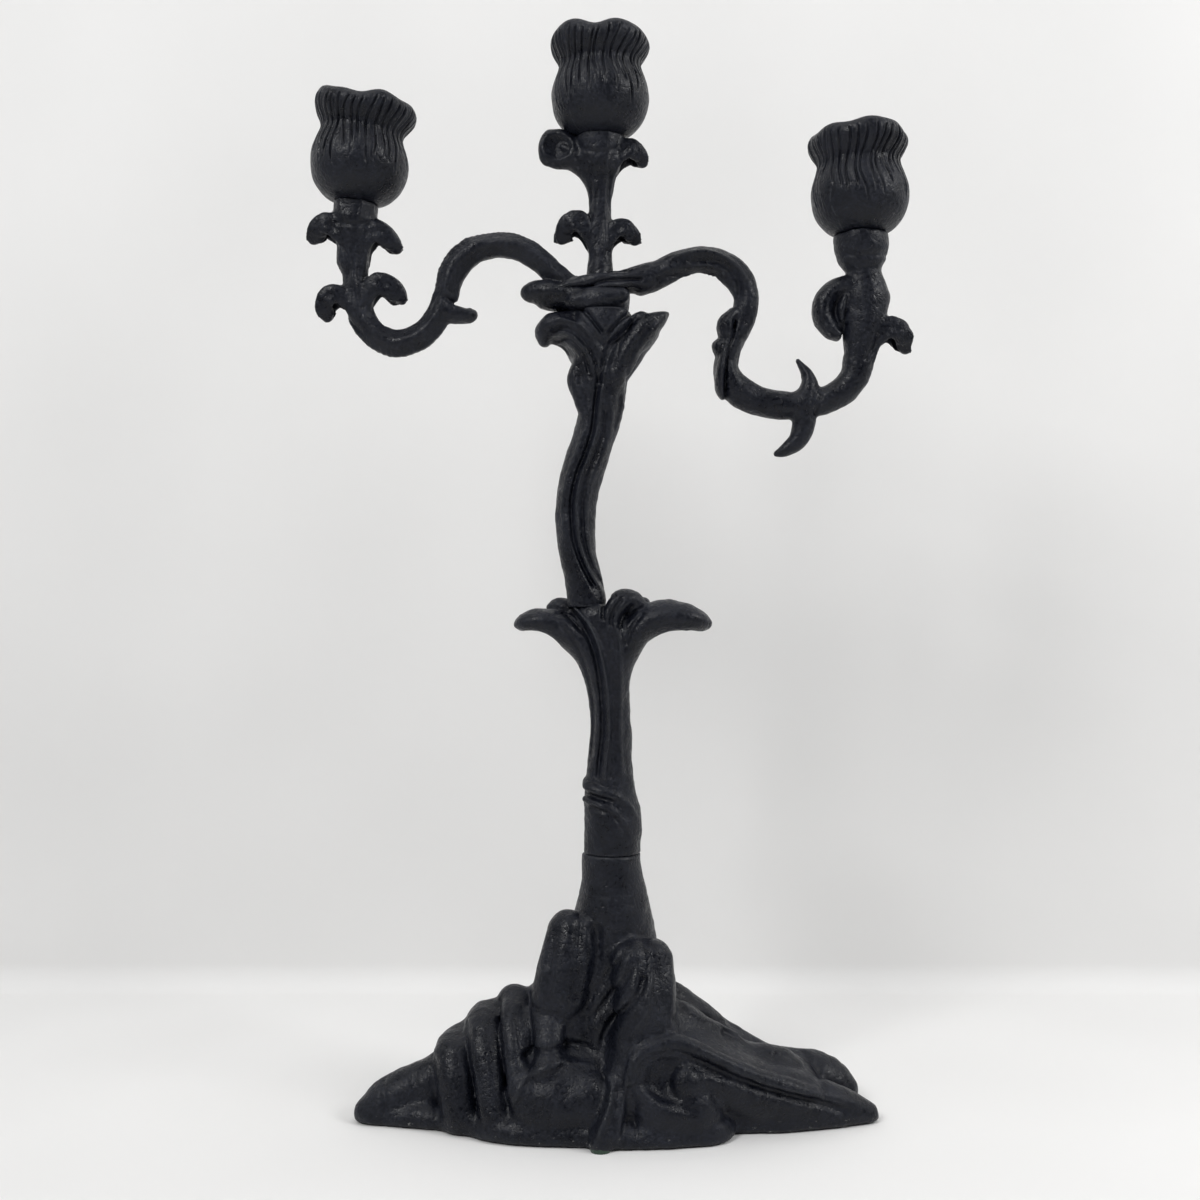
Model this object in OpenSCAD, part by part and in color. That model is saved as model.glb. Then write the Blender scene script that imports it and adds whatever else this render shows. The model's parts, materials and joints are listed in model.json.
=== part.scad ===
// Three-light cast-iron candelabra with branching arms and a root-shaped base.

/* [Heights] */
// Height of the joint between the base and the trunk
base_top_z = 109; // [95:1:135]
// Height of the rim of the leaf collar that the upper stem stands in
collar_z = 210; // [180:1:252]
// Height of the seat that the upper stem gives the arms
hub_z = 330; // [300:1:396]
// Rise of the centre cup's seat above the hub
centre_rise = 72; // [60:1:90]
// Rise of the left cup's seat above the hub
left_rise = 45; // [37:1:56]
// Rise of the right cup's seat above the hub
right_rise = 32; // [27:1:40]

/* [Arms] */
// Distance of the left neck from the hub's axis
left_reach = 100; // [84:1:122]
// Distance of the right neck from the hub's axis
right_reach = 107; // [90:1:130]
// Lean of the left cup towards the hub, in degrees
left_lean = 5; // [0:0.5:8]
// Lean of the right cup towards the hub, in degrees
right_lean = -2; // [-4:0.5:6]
// Half the thickness of an arm in its own plane
arm_half = 5; // [4.2:0.1:6.5]
// Half the depth of an arm, front to back
arm_depth_half = 5.5; // [4.5:0.1:7]
// Radius of the eye at the hub end of each arm
eye_r = 12; // [10:0.5:15]
// Height of one arm's eye
eye_h = 7; // [6:0.5:9]
// Radius of the centre post's shaft
post_r = 4.6; // [4.2:0.1:6]

/* [Candle cups] */
// Diameter of the candle that the cups take
candle_d = 22.2; // [19:0.1:24.5]
// Gap all round the candle
candle_gap = 0.4; // [0.2:0.1:1]
// Depth of the candle socket
socket_depth = 24; // [20:1:28]
// Overall height of a cup
cup_h = 42; // [40:1:52]
// Radius of the round lower part of a cup
bulb_r = 19; // [17.5:0.5:23]
// Radius of a cup's waist
waist_r = 16.4; // [15:0.2:20]
// Radius of a cup's rim
rim_r = 20; // [18:0.5:25]
// Radius of the neck that a cup sits on
neck_r = 9.8; // [8.5:0.1:12]

/* [Stem] */
// Radius of the upper stem at its slimmest
stem_r = 7.6; // [6.8:0.1:9.2]
// Radius of the trunk at its slimmest
trunk_r = 8.3; // [7.5:0.1:10]
// Radius of the upper stem's spigot
spigot_r = 6.2; // [5.4:0.1:6.8]
// Length of the upper stem's spigot
spigot_l = 20; // [16:1:24]
// Radius of the locating boss between trunk and base
boss_r = 8; // [7:0.5:9.5]
// Height of the locating boss
boss_h = 4; // [3:0.5:6]

/* [Base] */
// Distance of the left toe's tip from the trunk
left_toe = 104; // [87:1:125]
// Distance of the right root's tip from the trunk
right_toe = 109; // [91:1:131]
// Distance of the front toe's tip from the trunk
front_toe = 42; // [39:1:51]
// Distance of the back toes' tips from the trunk
back_toe = 72; // [62:1:87]
// Wall of the base round its hollow
base_wall = 8; // [6:0.5:10]
// Height of the hollow under the base
hollow_h = 42; // [36:1:50]
// Diameter of a felt pad
pad_d = 8; // [6:0.5:9]
// Thickness of a felt pad
pad_t = 2; // [1.6:0.1:3]
// How far a pad stands out of its recess
pad_proud = 0.6; // [0.4:0.1:1]

/* [Fasteners] */
// Diameter of the tie rod
rod_d = 6; // [5:0.5:7]
// Diameter of the hub stud
stud_d = 5; // [4:0.5:6]
// Diameter of a cup screw
screw_d = 4; // [3:0.5:5]
// Length of a cup screw under its head
screw_l = 16; // [12:1:20]
// Radial gap between a fastener and its hole
hole_gap = 0.2; // [0.1:0.05:0.4]
// Radial gap round spigots and bosses
seat_gap = 0.15; // [0.1:0.05:0.3]

/* [Hidden] */

iron = [0.07, 0.07, 0.08];
zinc = [0.62, 0.63, 0.65];
felt = [0.12, 0.2, 0.14];

// The trunk's axis, and the hub's axis a little to its left.
axis_y = (front_toe - back_toe) / 2 + 1;
hub_x = -4;
left_x = hub_x - left_reach;
right_x = hub_x + right_reach;
centre_seat_z = hub_z + centre_rise;
left_seat_z = hub_z + left_rise;
right_seat_z = hub_z + right_rise;

socket_r = candle_d / 2 + candle_gap;
socket_floor = cup_h - socket_depth;
screw_head_r = screw_d * 0.95;
screw_head_h = screw_d * 0.7;
washer_r = screw_d * 1.2;
washer_t = 0.8;
well_r = washer_r + hole_gap;
well_h = screw_head_h + washer_t + 0.4;
well_z = socket_floor - well_h;
screw_tip_z = well_z + washer_t - screw_l;
tap_depth = 2 - screw_tip_z;

rod_nut_r = rod_d;
rod_nut_h = rod_d * 0.85;
rod_washer_r = rod_d * 1.6;
rod_washer_t = 1.6;
rod_thread_in = spigot_l - 5;
spigot_z = collar_z - spigot_l;
rod_x = -3;
stud_into_stem = 14;
stud_into_post = 12;
post_z = hub_z + 2 * eye_h;

// Sides of a swept body and steps of its curve between two points.
SIDES = 14;
LEAF_SIDES = 10;
STEPS = 4;
$fn = 64;

// ---- curves and swept bodies ----

// A smooth curve through the points p, with its ends kept.
function curve_at(p, i, t) =
    let (
        last = len(p) - 1,
        a = p[max(i - 1, 0)],
        b = p[i],
        c = p[min(i + 1, last)],
        d = p[min(i + 2, last)]
    )
    0.5 * (2 * b + (c - a) * t + (2 * a - 5 * b + 4 * c - d) * t * t
        + (3 * b - a - 3 * c + d) * t * t * t);

function curve(p, steps) = [
    for (i = [0 : len(p) - 2])
        for (s = [0 : steps - 1])
            curve_at(p, i, s / steps),
    p[len(p) - 1]
];

function heading(p, i) =
    let (
        ahead = p[min(i + 1, len(p) - 1)],
        behind = p[max(i - 1, 0)],
        d = [ahead[0] - behind[0], ahead[1] - behind[1], ahead[2] - behind[2]]
    )
    d / norm(d);

// One ring of a swept body: a rounded section, half its size in the plane and in depth.
function ring(c, dir, sides) =
    let (
        side = cross([0, 1, 0], dir),
        across = side / norm(side),
        deep = cross(dir, across)
    )
    [
        for (k = [0 : sides - 1])
            let (a = 360 * k / sides)
            [c[0], c[1], c[2]] + across * c[3] * cos(a) + deep * c[4] * sin(a)
    ];

// Each stop is [x, y, z, half size in the plane, half size in depth].
module swept(stops, sides = SIDES, steps = STEPS) {
    line = curve(stops, steps);
    n = len(line);
    points = [
        for (i = [0 : n - 1])
            each ring(line[i], heading(line, i), sides)
    ];
    walls = [
        for (i = [0 : n - 2])
            for (k = [0 : sides - 1])
                let (
                    a = i * sides + k,
                    b = i * sides + (k + 1) % sides
                )
                each [[a, b + sides, b], [a, a + sides, b + sides]]
    ];
    first = [for (k = [1 : sides - 2]) [0, k, k + 1]];
    top = (n - 1) * sides;
    last = [for (k = [1 : sides - 2]) [top, top + k + 1, top + k]];
    polyhedron(points = points, faces = concat(walls, first, last));
}

// A leaf that leaves the stem at one point, arches over and ends in a curled tip.
// path holds [x, z] offsets from the root of the leaf, across is its half width front to back.
// A spoon leaf is slim at its root and widest near its tip.
function leaf_swell(u) = pow(sin(25 + 135 * u), 0.8);
function spoon_swell(u) = u == 1 ? 0.4 : 0.35 + 0.65 * pow(sin(min(90, 120 * u)), 2);

module leaf(x, y, z, path, thick, across, spoon = false) {
    n = len(path) - 1;
    stops = [
        for (i = [0 : n])
            let (swell = spoon ? spoon_swell(i / n) : leaf_swell(i / n))
            [x + path[i][0], y, z + path[i][1], thick * swell, across * swell]
    ];
    swept(stops, LEAF_SIDES, 3);
}

// ---- castings ----

// The base spreads from the trunk into toes, each with a direction, a reach and a width.
base_bottom = pad_proud;
base_neck_r = trunk_r + 3.7;
hollow_toe_share = 0.4;
// Less than half a step of the outline, so that the hollow's edges miss the outside's.
hollow_turn = 2.1;
core_foot_r = 36;
toes = [
    [182, left_toe, 14],
    [214, left_toe * 0.53, 22],
    [264, front_toe, 18],
    [324, front_toe * 1.28, 22],
    [359, right_toe, 12],
    [12, right_toe * 0.92, 13],
    [62, back_toe * 0.95, 26],
    [112, back_toe * 1.03, 26],
    [155, left_toe * 0.72, 20]
];
function turn_between(a, b) = abs(((a - b + 540) % 360) - 180);
function toe_reach(a, toe) =
    let (u = turn_between(a, toe[0]) / toe[2])
    u >= 2 ? 0 : (toe[1] - core_foot_r) * pow(cos(45 * u), 2);
function reach(a) = max([for (toe = toes) toe_reach(a, toe)]);

// Share of the height, radius of the core, share of the toes' reach, depth of the folds.
base_levels = [
    [0, core_foot_r, 0.97, 0],
    [0.04, core_foot_r, 1, 0],
    [0.1, core_foot_r, 0.96, 0.4],
    [0.17, core_foot_r - 1, 0.82, 0.8],
    [0.22, core_foot_r - 2, 0.62, 1.4],
    [0.27, core_foot_r - 3, 0.5, 1.8],
    [0.36, core_foot_r - 5, 0.38, 2],
    [0.45, core_foot_r - 8, 0.2, 2],
    [0.5, core_foot_r - 10, 0.1, 1.8],
    [0.62, core_foot_r - 12, 0, 1.4],
    [0.7, core_foot_r - 13, 0, 1.2],
    [0.77, core_foot_r - 17, 0, 0.8],
    [0.83, base_neck_r + 1.6, 0, 0.3],
    [1, base_neck_r, 0, 0]
];
FOLDS = 11;
BASE_TURNS = 72;
base_h = base_top_z - base_bottom;

// A closed body through the levels, drawn in by inset, with its toes at the given share.
module root_mass(levels, inset, toe_share) {
    points = [
        for (level = levels)
            for (k = [0 : BASE_TURNS - 1])
                let (
                    a = 360 * k / BASE_TURNS,
                    fold = level[3] * cos(FOLDS * a + 200 * level[0]),
                    r = level[1] - inset + reach(a) * level[2] * toe_share + fold
                )
                [r * cos(a), r * sin(a), base_bottom + base_h * level[0]]
    ];
    rows = len(levels);
    ends = [
        [0, 0, base_bottom + base_h * levels[0][0]],
        [0, 0, base_bottom + base_h * levels[rows - 1][0]]
    ];
    foot = rows * BASE_TURNS;
    walls = [
        for (i = [0 : rows - 2])
            for (k = [0 : BASE_TURNS - 1])
                let (
                    a = i * BASE_TURNS + k,
                    b = i * BASE_TURNS + (k + 1) % BASE_TURNS
                )
                each [[a, b + BASE_TURNS, b], [a, a + BASE_TURNS, b + BASE_TURNS]]
    ];
    bottom = [for (k = [0 : BASE_TURNS - 1]) [foot, k, (k + 1) % BASE_TURNS]];
    top_row = (rows - 1) * BASE_TURNS;
    top = [
        for (k = [0 : BASE_TURNS - 1])
            [foot + 1, top_row + (k + 1) % BASE_TURNS, top_row + k]
    ];
    polyhedron(points = concat(points, ends), faces = concat(walls, bottom, top));
}

// Where the felt pads sit: under the left, front, right and two back toes.
pad_spots = [
    for (i = [0, 2, 4, 6, 7])
        let (r = toes[i][1] - pad_d * 0.75)
        [r * cos(toes[i][0]), r * sin(toes[i][0])]
];

// The hollow's flat top is as wide as the tie rod's washer needs, off centre as the rod is.
hollow_top_r = abs(rod_x) + rod_washer_r + seat_gap + 0.4;
// The hollow follows the outside at the wall's thickness, and leaves the toes solid.
hollow_levels = [
    [-0.03, core_foot_r, 0.95, 0],
    [0.1, core_foot_r, 0.92, 0],
    [0.2, core_foot_r - 3, 0.4, 0],
    [0.3, core_foot_r - 8, 0.15, 0],
    [hollow_h / base_h, hollow_top_r + base_wall, 0, 0]
];

module base() {
    color(iron)
    translate([0, axis_y, 0])
    difference() {
        root_mass(base_levels, 0, 1);
        rotate([0, 0, hollow_turn])
            root_mass(hollow_levels, base_wall, hollow_toe_share);
        translate([rod_x, 0, 0])
            cylinder(r = rod_d / 2 + hole_gap, h = base_top_z + 1);
        translate([0, 0, base_top_z - boss_h - 0.3])
            cylinder(r = boss_r + seat_gap, h = boss_h + 2);
        for (spot = pad_spots)
            translate([spot[0], spot[1], base_bottom - 1])
            cylinder(d = pad_d + 2 * seat_gap, h = 1 + pad_t - pad_proud);
    }
}

module felt_pads() {
    color(felt)
    translate([0, axis_y, 0])
    for (spot = pad_spots)
        translate([spot[0], spot[1], 0])
        cylinder(d = pad_d, h = pad_t);
}

// The trunk runs from the base's top to the leaf collar.
trunk_span = collar_z - base_top_z;
function trunk_at(share, x, half) = [x, axis_y, base_top_z + trunk_span * share, half, half];

module trunk() {
    color(iron)
    difference() {
        union() {
            swept([
                trunk_at(0, 0.5, trunk_r + 3.4),
                trunk_at(0.15, 0.5, trunk_r + 3),
                trunk_at(0.3, -0.5, trunk_r + 1.8),
                trunk_at(0.45, 0, trunk_r),
                trunk_at(0.62, -0.4, trunk_r),
                trunk_at(0.78, -2, trunk_r + 1.4),
                trunk_at(0.92, -3.4, trunk_r + 5),
                trunk_at(1, -4, trunk_r + 6)
            ]);
            translate([0, axis_y, base_top_z - boss_h])
                cylinder(r = boss_r, h = boss_h + 1);
            leaf(-5, axis_y - 2, collar_z - 34, [[0, 0], [-5, 13], [-13, 23], [-23, 28], [-32, 27]], 5, 10);
            leaf(4, axis_y - 2, collar_z - 34, [[0, 0], [4, 14], [10, 25], [22, 32], [34, 29]], 5, 11);
            leaf(-5, axis_y + 7, collar_z - 26, [[0, 0], [-4, 12], [-10, 20], [-17, 24]], 4.5, 8);
            leaf(2, axis_y + 8, collar_z - 26, [[0, 0], [2, 12], [7, 21], [13, 26]], 4.5, 8);
        }
        translate([rod_x, axis_y, base_top_z - boss_h - 1])
            cylinder(r = rod_d / 2 + hole_gap, h = trunk_span + boss_h + 2);
        translate([rod_x, axis_y, spigot_z])
            cylinder(r = spigot_r + seat_gap, h = spigot_l + 30);
    }
}

// The upper stem leans left and back to the hub's axis, and opens in the calyx.
stem_span = hub_z - collar_z;
function stem_at(share, x, half) = [x, axis_y, collar_z + stem_span * share, half, half];

module upper_stem() {
    color(iron)
    difference() {
        union() {
            swept([
                stem_at(0, rod_x - 3, stem_r + 0.6),
                stem_at(0.06, rod_x - 5, stem_r + 0.2),
                stem_at(0.18, -12.5, stem_r),
                stem_at(0.31, -13.8, stem_r + 0.4),
                stem_at(0.42, -12.8, stem_r + 0.8),
                stem_at(0.55, -8, stem_r + 1),
                stem_at(0.68, -4.6, stem_r + 1.6),
                stem_at(0.82, hub_x, stem_r + 4),
                stem_at(0.92, hub_x, stem_r + 4.2),
                stem_at(1, hub_x, eye_r - 0.5)
            ]);
            translate([rod_x, axis_y, spigot_z])
                cylinder(r = spigot_r, h = spigot_l + 2);
            leaf(hub_x - 5, axis_y, hub_z - 36, [[0, 0], [-4, 12], [-9, 21], [-15, 26], [-20, 25]], 6.5, 9, true);
            leaf(hub_x + 5, axis_y, hub_z - 38, [[0, 0], [5, 12], [10, 22], [16, 30], [22, 34]], 5.4, 9, true);
            leaf(hub_x, axis_y - 5, hub_z - 40, [[0, 0], [-0.5, 14], [0.5, 26], [0, 34]], 6, 6);
            leaf(hub_x, axis_y + 5, hub_z - 38, [[0, 0], [0, 14], [0.5, 26], [0, 34]], 6, 6);
        }
        translate([rod_x, axis_y, spigot_z - 1])
            cylinder(r = rod_d / 2 + hole_gap, h = rod_thread_in + 2);
        translate([hub_x, axis_y, hub_z - stud_into_stem - 1])
            cylinder(r = stud_d / 2 + hole_gap, h = stud_into_stem + 10);
        translate([hub_x, axis_y, hub_z])
            cylinder(r = eye_r * 3, h = 30);
    }
}

// A neck that opens from an arm into the seat of a cup, leaning with the cup.
module neck(x, seat_z, lean, start_r, bead_r, length) {
    translate([x, axis_y, seat_z])
    rotate([0, lean, 0])
    rotate_extrude()
    polygon([
        [0, -length],
        [start_r, -length],
        [start_r + 0.2, -length * 0.75],
        [start_r + 1, -length * 0.5],
        [bead_r, -length * 0.3],
        [bead_r, -length * 0.12],
        [neck_r, 0],
        [0, 0]
    ]);
}

module cup_tap(x, seat_z, lean) {
    translate([x, axis_y, seat_z])
    rotate([0, lean, 0])
    translate([0, 0, -tap_depth])
        cylinder(r = screw_d / 2 + hole_gap, h = tap_depth + 1);
}

// A hub stop, given from the hub's axis and seat; a cup stop, given from the cup's seat.
function arm_stop(side, reach, u, z, half) =
    [hub_x + side * reach * u, axis_y, hub_z + z, half, arm_depth_half];
function cup_stop(x, seat_z, dx, dz, half) = [x + dx, axis_y, seat_z + dz, half, half];

module left_arm() {
    color(iron)
    difference() {
        union() {
            translate([hub_x, axis_y, hub_z])
                cylinder(r = eye_r, h = eye_h);
            swept([
                arm_stop(-1, left_reach, 0.06, eye_h / 2, arm_half - 1.5),
                arm_stop(-1, left_reach, 0.16, 9, arm_half),
                arm_stop(-1, left_reach, 0.26, 20, arm_half),
                arm_stop(-1, left_reach, 0.4, 28, arm_half),
                arm_stop(-1, left_reach, 0.53, 25, arm_half),
                arm_stop(-1, left_reach, 0.62, 12, arm_half),
                arm_stop(-1, left_reach, 0.68, -3, arm_half),
                arm_stop(-1, left_reach, 0.82, -12, arm_half + 0.2),
                arm_stop(-1, left_reach, 0.95, -5, arm_half + 0.4),
                cup_stop(left_x, left_seat_z, 0, -37, arm_half + 0.6),
                cup_stop(left_x, left_seat_z, -0.6, -18, arm_half + 0.4),
                cup_stop(left_x, left_seat_z, -0.3, -5, arm_half + 2)
            ]);
            neck(left_x, left_seat_z, left_lean, arm_half + 0.6, neck_r - 0.8, 24);
            leaf(left_x - 1, axis_y, left_seat_z - 26, [[0, 0], [-5, 10], [-10, 16], [-15, 14], [-16, 9]], 3.6, 6.5);
            leaf(left_x + 1, axis_y, left_seat_z - 32, [[0, 0], [3, 12], [8, 19], [13, 17], [16, 13]], 3.2, 6);
            leaf(left_x + 1, axis_y, left_seat_z - 53, [[0, 0], [4, 12], [9, 18], [14, 17], [17, 12]], 3.4, 6.5);
            leaf(left_x - 1, axis_y, left_seat_z - 56, [[0, 0], [-3, 11], [-8, 17], [-12, 14], [-12, 9]], 3.6, 6.5);
            leaf(hub_x - left_reach * 0.68, axis_y, hub_z - 8, [[0, 0], [8, 1], [15, 4], [18, 8]], 3.6, 4.5);
            leaf(hub_x - 8, axis_y - 2, hub_z + 2, [[0, 0], [-8, 2], [-16, 5], [-22, 7]], 4.5, 6);
        }
        translate([hub_x, axis_y, hub_z - 1])
            cylinder(r = stud_d / 2 + hole_gap, h = eye_h + 20);
        translate([hub_x, axis_y, hub_z + eye_h])
            cylinder(r = eye_r + 1, h = 2 * eye_h);
        translate([hub_x, axis_y, hub_z - 3 * eye_h])
            cylinder(r = eye_r + 1, h = 3 * eye_h);
        cup_tap(left_x, left_seat_z, left_lean);
        above_seat(left_x, left_seat_z, left_lean);
    }
}

// Trims whatever a swept body leaves above a cup's seat.
module above_seat(x, seat_z, lean) {
    translate([x, axis_y, seat_z])
    rotate([0, lean, 0])
        cylinder(r = bulb_r, h = 20);
}

module right_arm() {
    color(iron)
    difference() {
        union() {
            translate([hub_x, axis_y, hub_z + eye_h])
                cylinder(r = eye_r, h = eye_h);
            swept([
                arm_stop(1, right_reach, 0.06, eye_h * 1.5, arm_half - 1.5),
                arm_stop(1, right_reach, 0.18, 14, arm_half - 0.2),
                arm_stop(1, right_reach, 0.32, 19, arm_half),
                arm_stop(1, right_reach, 0.43, 21, arm_half + 0.6),
                arm_stop(1, right_reach, 0.54, 14, arm_half + 0.2),
                arm_stop(1, right_reach, 0.56, 2, arm_half),
                arm_stop(1, right_reach, 0.5, -14, arm_half + 0.6),
                arm_stop(1, right_reach, 0.5, -26, arm_half + 1),
                arm_stop(1, right_reach, 0.65, -35, arm_half + 0.4),
                arm_stop(1, right_reach, 0.81, -37, arm_half),
                arm_stop(1, right_reach, 0.95, -29, arm_half),
                cup_stop(right_x, right_seat_z, 0, -45, arm_half + 1),
                cup_stop(right_x, right_seat_z, 0.3, -20, arm_half + 1.6),
                cup_stop(right_x, right_seat_z, 0.2, -5, arm_half + 2.4)
            ]);
            neck(right_x, right_seat_z, right_lean, arm_half + 1.4, neck_r + 1.4, 18);
            leaf(right_x + 2, axis_y, right_seat_z - 58, [[0, 0], [4, 11], [9, 19], [14, 19], [16, 14]], 4, 7);
            leaf(right_x - 1, axis_y, right_seat_z - 54, [[0, 0], [-5, 9], [-9, 15], [-12, 21], [-13, 27]], 6.5, 5, true);
            leaf(right_x - 22, axis_y, right_seat_z - 68, [[0, 0], [0, 6], [-1, 11], [-4, 16]], 3.6, 5);
            leaf(right_x - 28, axis_y, right_seat_z - 68, [[0, 0], [5, -9], [4, -15], [-3, -19]], 5.4, 6.5);
        }
        translate([hub_x, axis_y, hub_z - 1])
            cylinder(r = stud_d / 2 + hole_gap, h = eye_h * 2 + 20);
        translate([hub_x, axis_y, hub_z + 2 * eye_h])
            cylinder(r = eye_r + 1, h = 2 * eye_h);
        translate([hub_x, axis_y, hub_z - 2 * eye_h])
            cylinder(r = eye_r + 1, h = 3 * eye_h);
        cup_tap(right_x, right_seat_z, right_lean);
        above_seat(right_x, right_seat_z, right_lean);
    }
}

module centre_post() {
    post_h = centre_seat_z - post_z;
    color(iron)
    difference() {
        union() {
            translate([hub_x, axis_y, post_z])
            rotate_extrude()
            polygon([
                [0, 0],
                [eye_r - 3, 0],
                [post_r + 2.4, 2.5],
                [post_r + 1, 8],
                [post_r, post_h * 0.4],
                [post_r, post_h - 20],
                [post_r + 1.2, post_h - 14],
                [neck_r - 1.8, post_h - 7],
                [neck_r, post_h],
                [0, post_h]
            ]);
            leaf(hub_x, axis_y, centre_seat_z - 24, [[0, 0], [-6, 10], [-12, 15], [-17, 17], [-21, 18], [-26, 17]], 8, 4.5, true);
            leaf(hub_x, axis_y, centre_seat_z - 24, [[0, 0], [4, 11], [9, 18], [14, 18], [16, 14]], 3.4, 6);
            leaf(hub_x, axis_y, centre_seat_z - 48, [[0, 0], [-4, 10], [-9, 14], [-13, 11], [-13, 7]], 3.6, 6);
            leaf(hub_x, axis_y, centre_seat_z - 50, [[0, 0], [4, 10], [8, 14], [12, 12], [13, 8]], 3.2, 6);
        }
        translate([hub_x, axis_y, post_z - 1])
            cylinder(r = stud_d / 2 + hole_gap, h = stud_into_post + 2);
        cup_tap(hub_x, centre_seat_z, 0);
    }
}

// ---- candle cups ----

// Outline of a cup from its seat, over the bulb, in at the waist and out to the rolled rim.
cup_outline = curve([
    [neck_r - 1, 0],
    [neck_r + 4.5, cup_h * 0.09],
    [bulb_r - 1, cup_h * 0.27],
    [bulb_r, cup_h * 0.42],
    [bulb_r - 1, cup_h * 0.56],
    [waist_r, cup_h * 0.68],
    [rim_r - 1, cup_h * 0.78],
    [rim_r, cup_h * 0.88],
    [rim_r - 1.4, cup_h * 0.97],
    [rim_r - 3.4, cup_h]
], 4);

module cup_body() {
    difference() {
        rotate_extrude()
            polygon(concat([[0, 0]], cup_outline, [[0, cup_h]]));
        translate([0, 0, socket_floor])
            cylinder(r = socket_r, h = socket_depth + 1);
        translate([0, 0, well_z])
            cylinder(r = well_r, h = well_h + 1);
        translate([0, 0, -1])
            cylinder(r = screw_d / 2 + hole_gap, h = socket_floor);
    }
}

// Puts a cup's own pieces on its seat.
module on_seat(x, seat_z, lean) {
    translate([x, axis_y, seat_z])
    rotate([0, lean, 0])
    children();
}

module cup_screw_body() {
    translate([0, 0, screw_tip_z])
        cylinder(d = screw_d, h = screw_l + 0.1);
    translate([0, 0, well_z + washer_t])
        cylinder(r1 = screw_head_r, r2 = screw_head_r * 0.8, h = screw_head_h);
}

module cup_washer_body() {
    translate([0, 0, well_z])
    difference() {
        cylinder(r = washer_r, h = washer_t);
        translate([0, 0, -1])
            cylinder(r = screw_d / 2 + hole_gap, h = washer_t + 2);
    }
}

module left_cup() { color(iron) on_seat(left_x, left_seat_z, left_lean) cup_body(); }
module centre_cup() { color(iron) on_seat(hub_x, centre_seat_z, 0) cup_body(); }
module right_cup() { color(iron) on_seat(right_x, right_seat_z, right_lean) cup_body(); }
module left_cup_screw() { color(zinc) on_seat(left_x, left_seat_z, left_lean) cup_screw_body(); }
module centre_cup_screw() { color(zinc) on_seat(hub_x, centre_seat_z, 0) cup_screw_body(); }
module right_cup_screw() { color(zinc) on_seat(right_x, right_seat_z, right_lean) cup_screw_body(); }
module left_cup_washer() { color(zinc) on_seat(left_x, left_seat_z, left_lean) cup_washer_body(); }
module centre_cup_washer() { color(zinc) on_seat(hub_x, centre_seat_z, 0) cup_washer_body(); }
module right_cup_washer() { color(zinc) on_seat(right_x, right_seat_z, right_lean) cup_washer_body(); }

// ---- hub and tie-rod hardware ----

module hub_stud() {
    color(zinc)
    translate([hub_x, axis_y, hub_z - stud_into_stem])
        cylinder(d = stud_d, h = stud_into_stem + 2 * eye_h + stud_into_post);
}

rod_nut_z = hollow_h + base_bottom - rod_washer_t - rod_nut_h;

module tie_rod() {
    color(zinc)
    translate([rod_x, axis_y, rod_nut_z - 3])
        cylinder(d = rod_d, h = spigot_z + rod_thread_in - rod_nut_z + 3);
}

module tie_rod_washer() {
    color(zinc)
    translate([rod_x, axis_y, rod_nut_z + rod_nut_h])
    difference() {
        cylinder(r = rod_washer_r, h = rod_washer_t);
        translate([0, 0, -1])
            cylinder(r = rod_d / 2 + hole_gap, h = rod_washer_t + 2);
    }
}

module tie_rod_nut() {
    color(zinc)
    translate([rod_x, axis_y, rod_nut_z])
    difference() {
        cylinder(r = rod_nut_r, h = rod_nut_h, $fn = 6);
        translate([0, 0, -1])
            cylinder(r = rod_d / 2 + hole_gap / 2, h = rod_nut_h + 2);
    }
}

base();
felt_pads();
trunk();
upper_stem();
left_arm();
right_arm();
centre_post();
left_cup();
centre_cup();
right_cup();
left_cup_screw();
centre_cup_screw();
right_cup_screw();
left_cup_washer();
centre_cup_washer();
right_cup_washer();
hub_stud();
tie_rod();
tie_rod_washer();
tie_rod_nut();
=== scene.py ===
import json
import math

import bpy
import numpy as np
import openvdb
from bpy.props import FloatProperty, FloatVectorProperty, IntProperty, PointerProperty
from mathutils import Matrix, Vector


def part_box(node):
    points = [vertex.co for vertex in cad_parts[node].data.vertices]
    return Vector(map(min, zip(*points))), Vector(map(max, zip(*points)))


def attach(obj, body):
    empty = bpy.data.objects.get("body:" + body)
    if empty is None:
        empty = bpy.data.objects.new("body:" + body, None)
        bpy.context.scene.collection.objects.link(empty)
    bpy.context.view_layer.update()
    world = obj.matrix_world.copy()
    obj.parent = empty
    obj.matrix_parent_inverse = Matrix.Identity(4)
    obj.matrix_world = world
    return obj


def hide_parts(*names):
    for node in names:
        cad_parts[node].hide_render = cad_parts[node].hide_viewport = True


bl_info = {
    "name": "Branching Iron Candelabra",
    "version": (1, 0, 0),
    "blender": (4, 5, 0),
    "location": "View3D > Sidebar > Candelabra",
    "description": "Sculpts a three-light cast-iron candelabra round its frame",
    "category": "Object",
}

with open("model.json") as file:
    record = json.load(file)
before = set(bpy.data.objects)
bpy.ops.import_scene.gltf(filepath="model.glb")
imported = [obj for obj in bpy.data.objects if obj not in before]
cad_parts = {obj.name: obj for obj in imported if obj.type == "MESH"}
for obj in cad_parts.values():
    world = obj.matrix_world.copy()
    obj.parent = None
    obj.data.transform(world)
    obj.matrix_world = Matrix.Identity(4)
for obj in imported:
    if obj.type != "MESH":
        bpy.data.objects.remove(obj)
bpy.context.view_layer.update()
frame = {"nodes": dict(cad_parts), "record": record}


# ---- anchors: where the frame puts things ----

def middle(node):
    """The middle of a node's box."""
    low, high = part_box(node)
    return (low + high) / 2


stud = middle("hub_stud")
# The hub stands this many millimetres to the left of the trunk's axis.
HUB_X = 4.0
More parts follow.
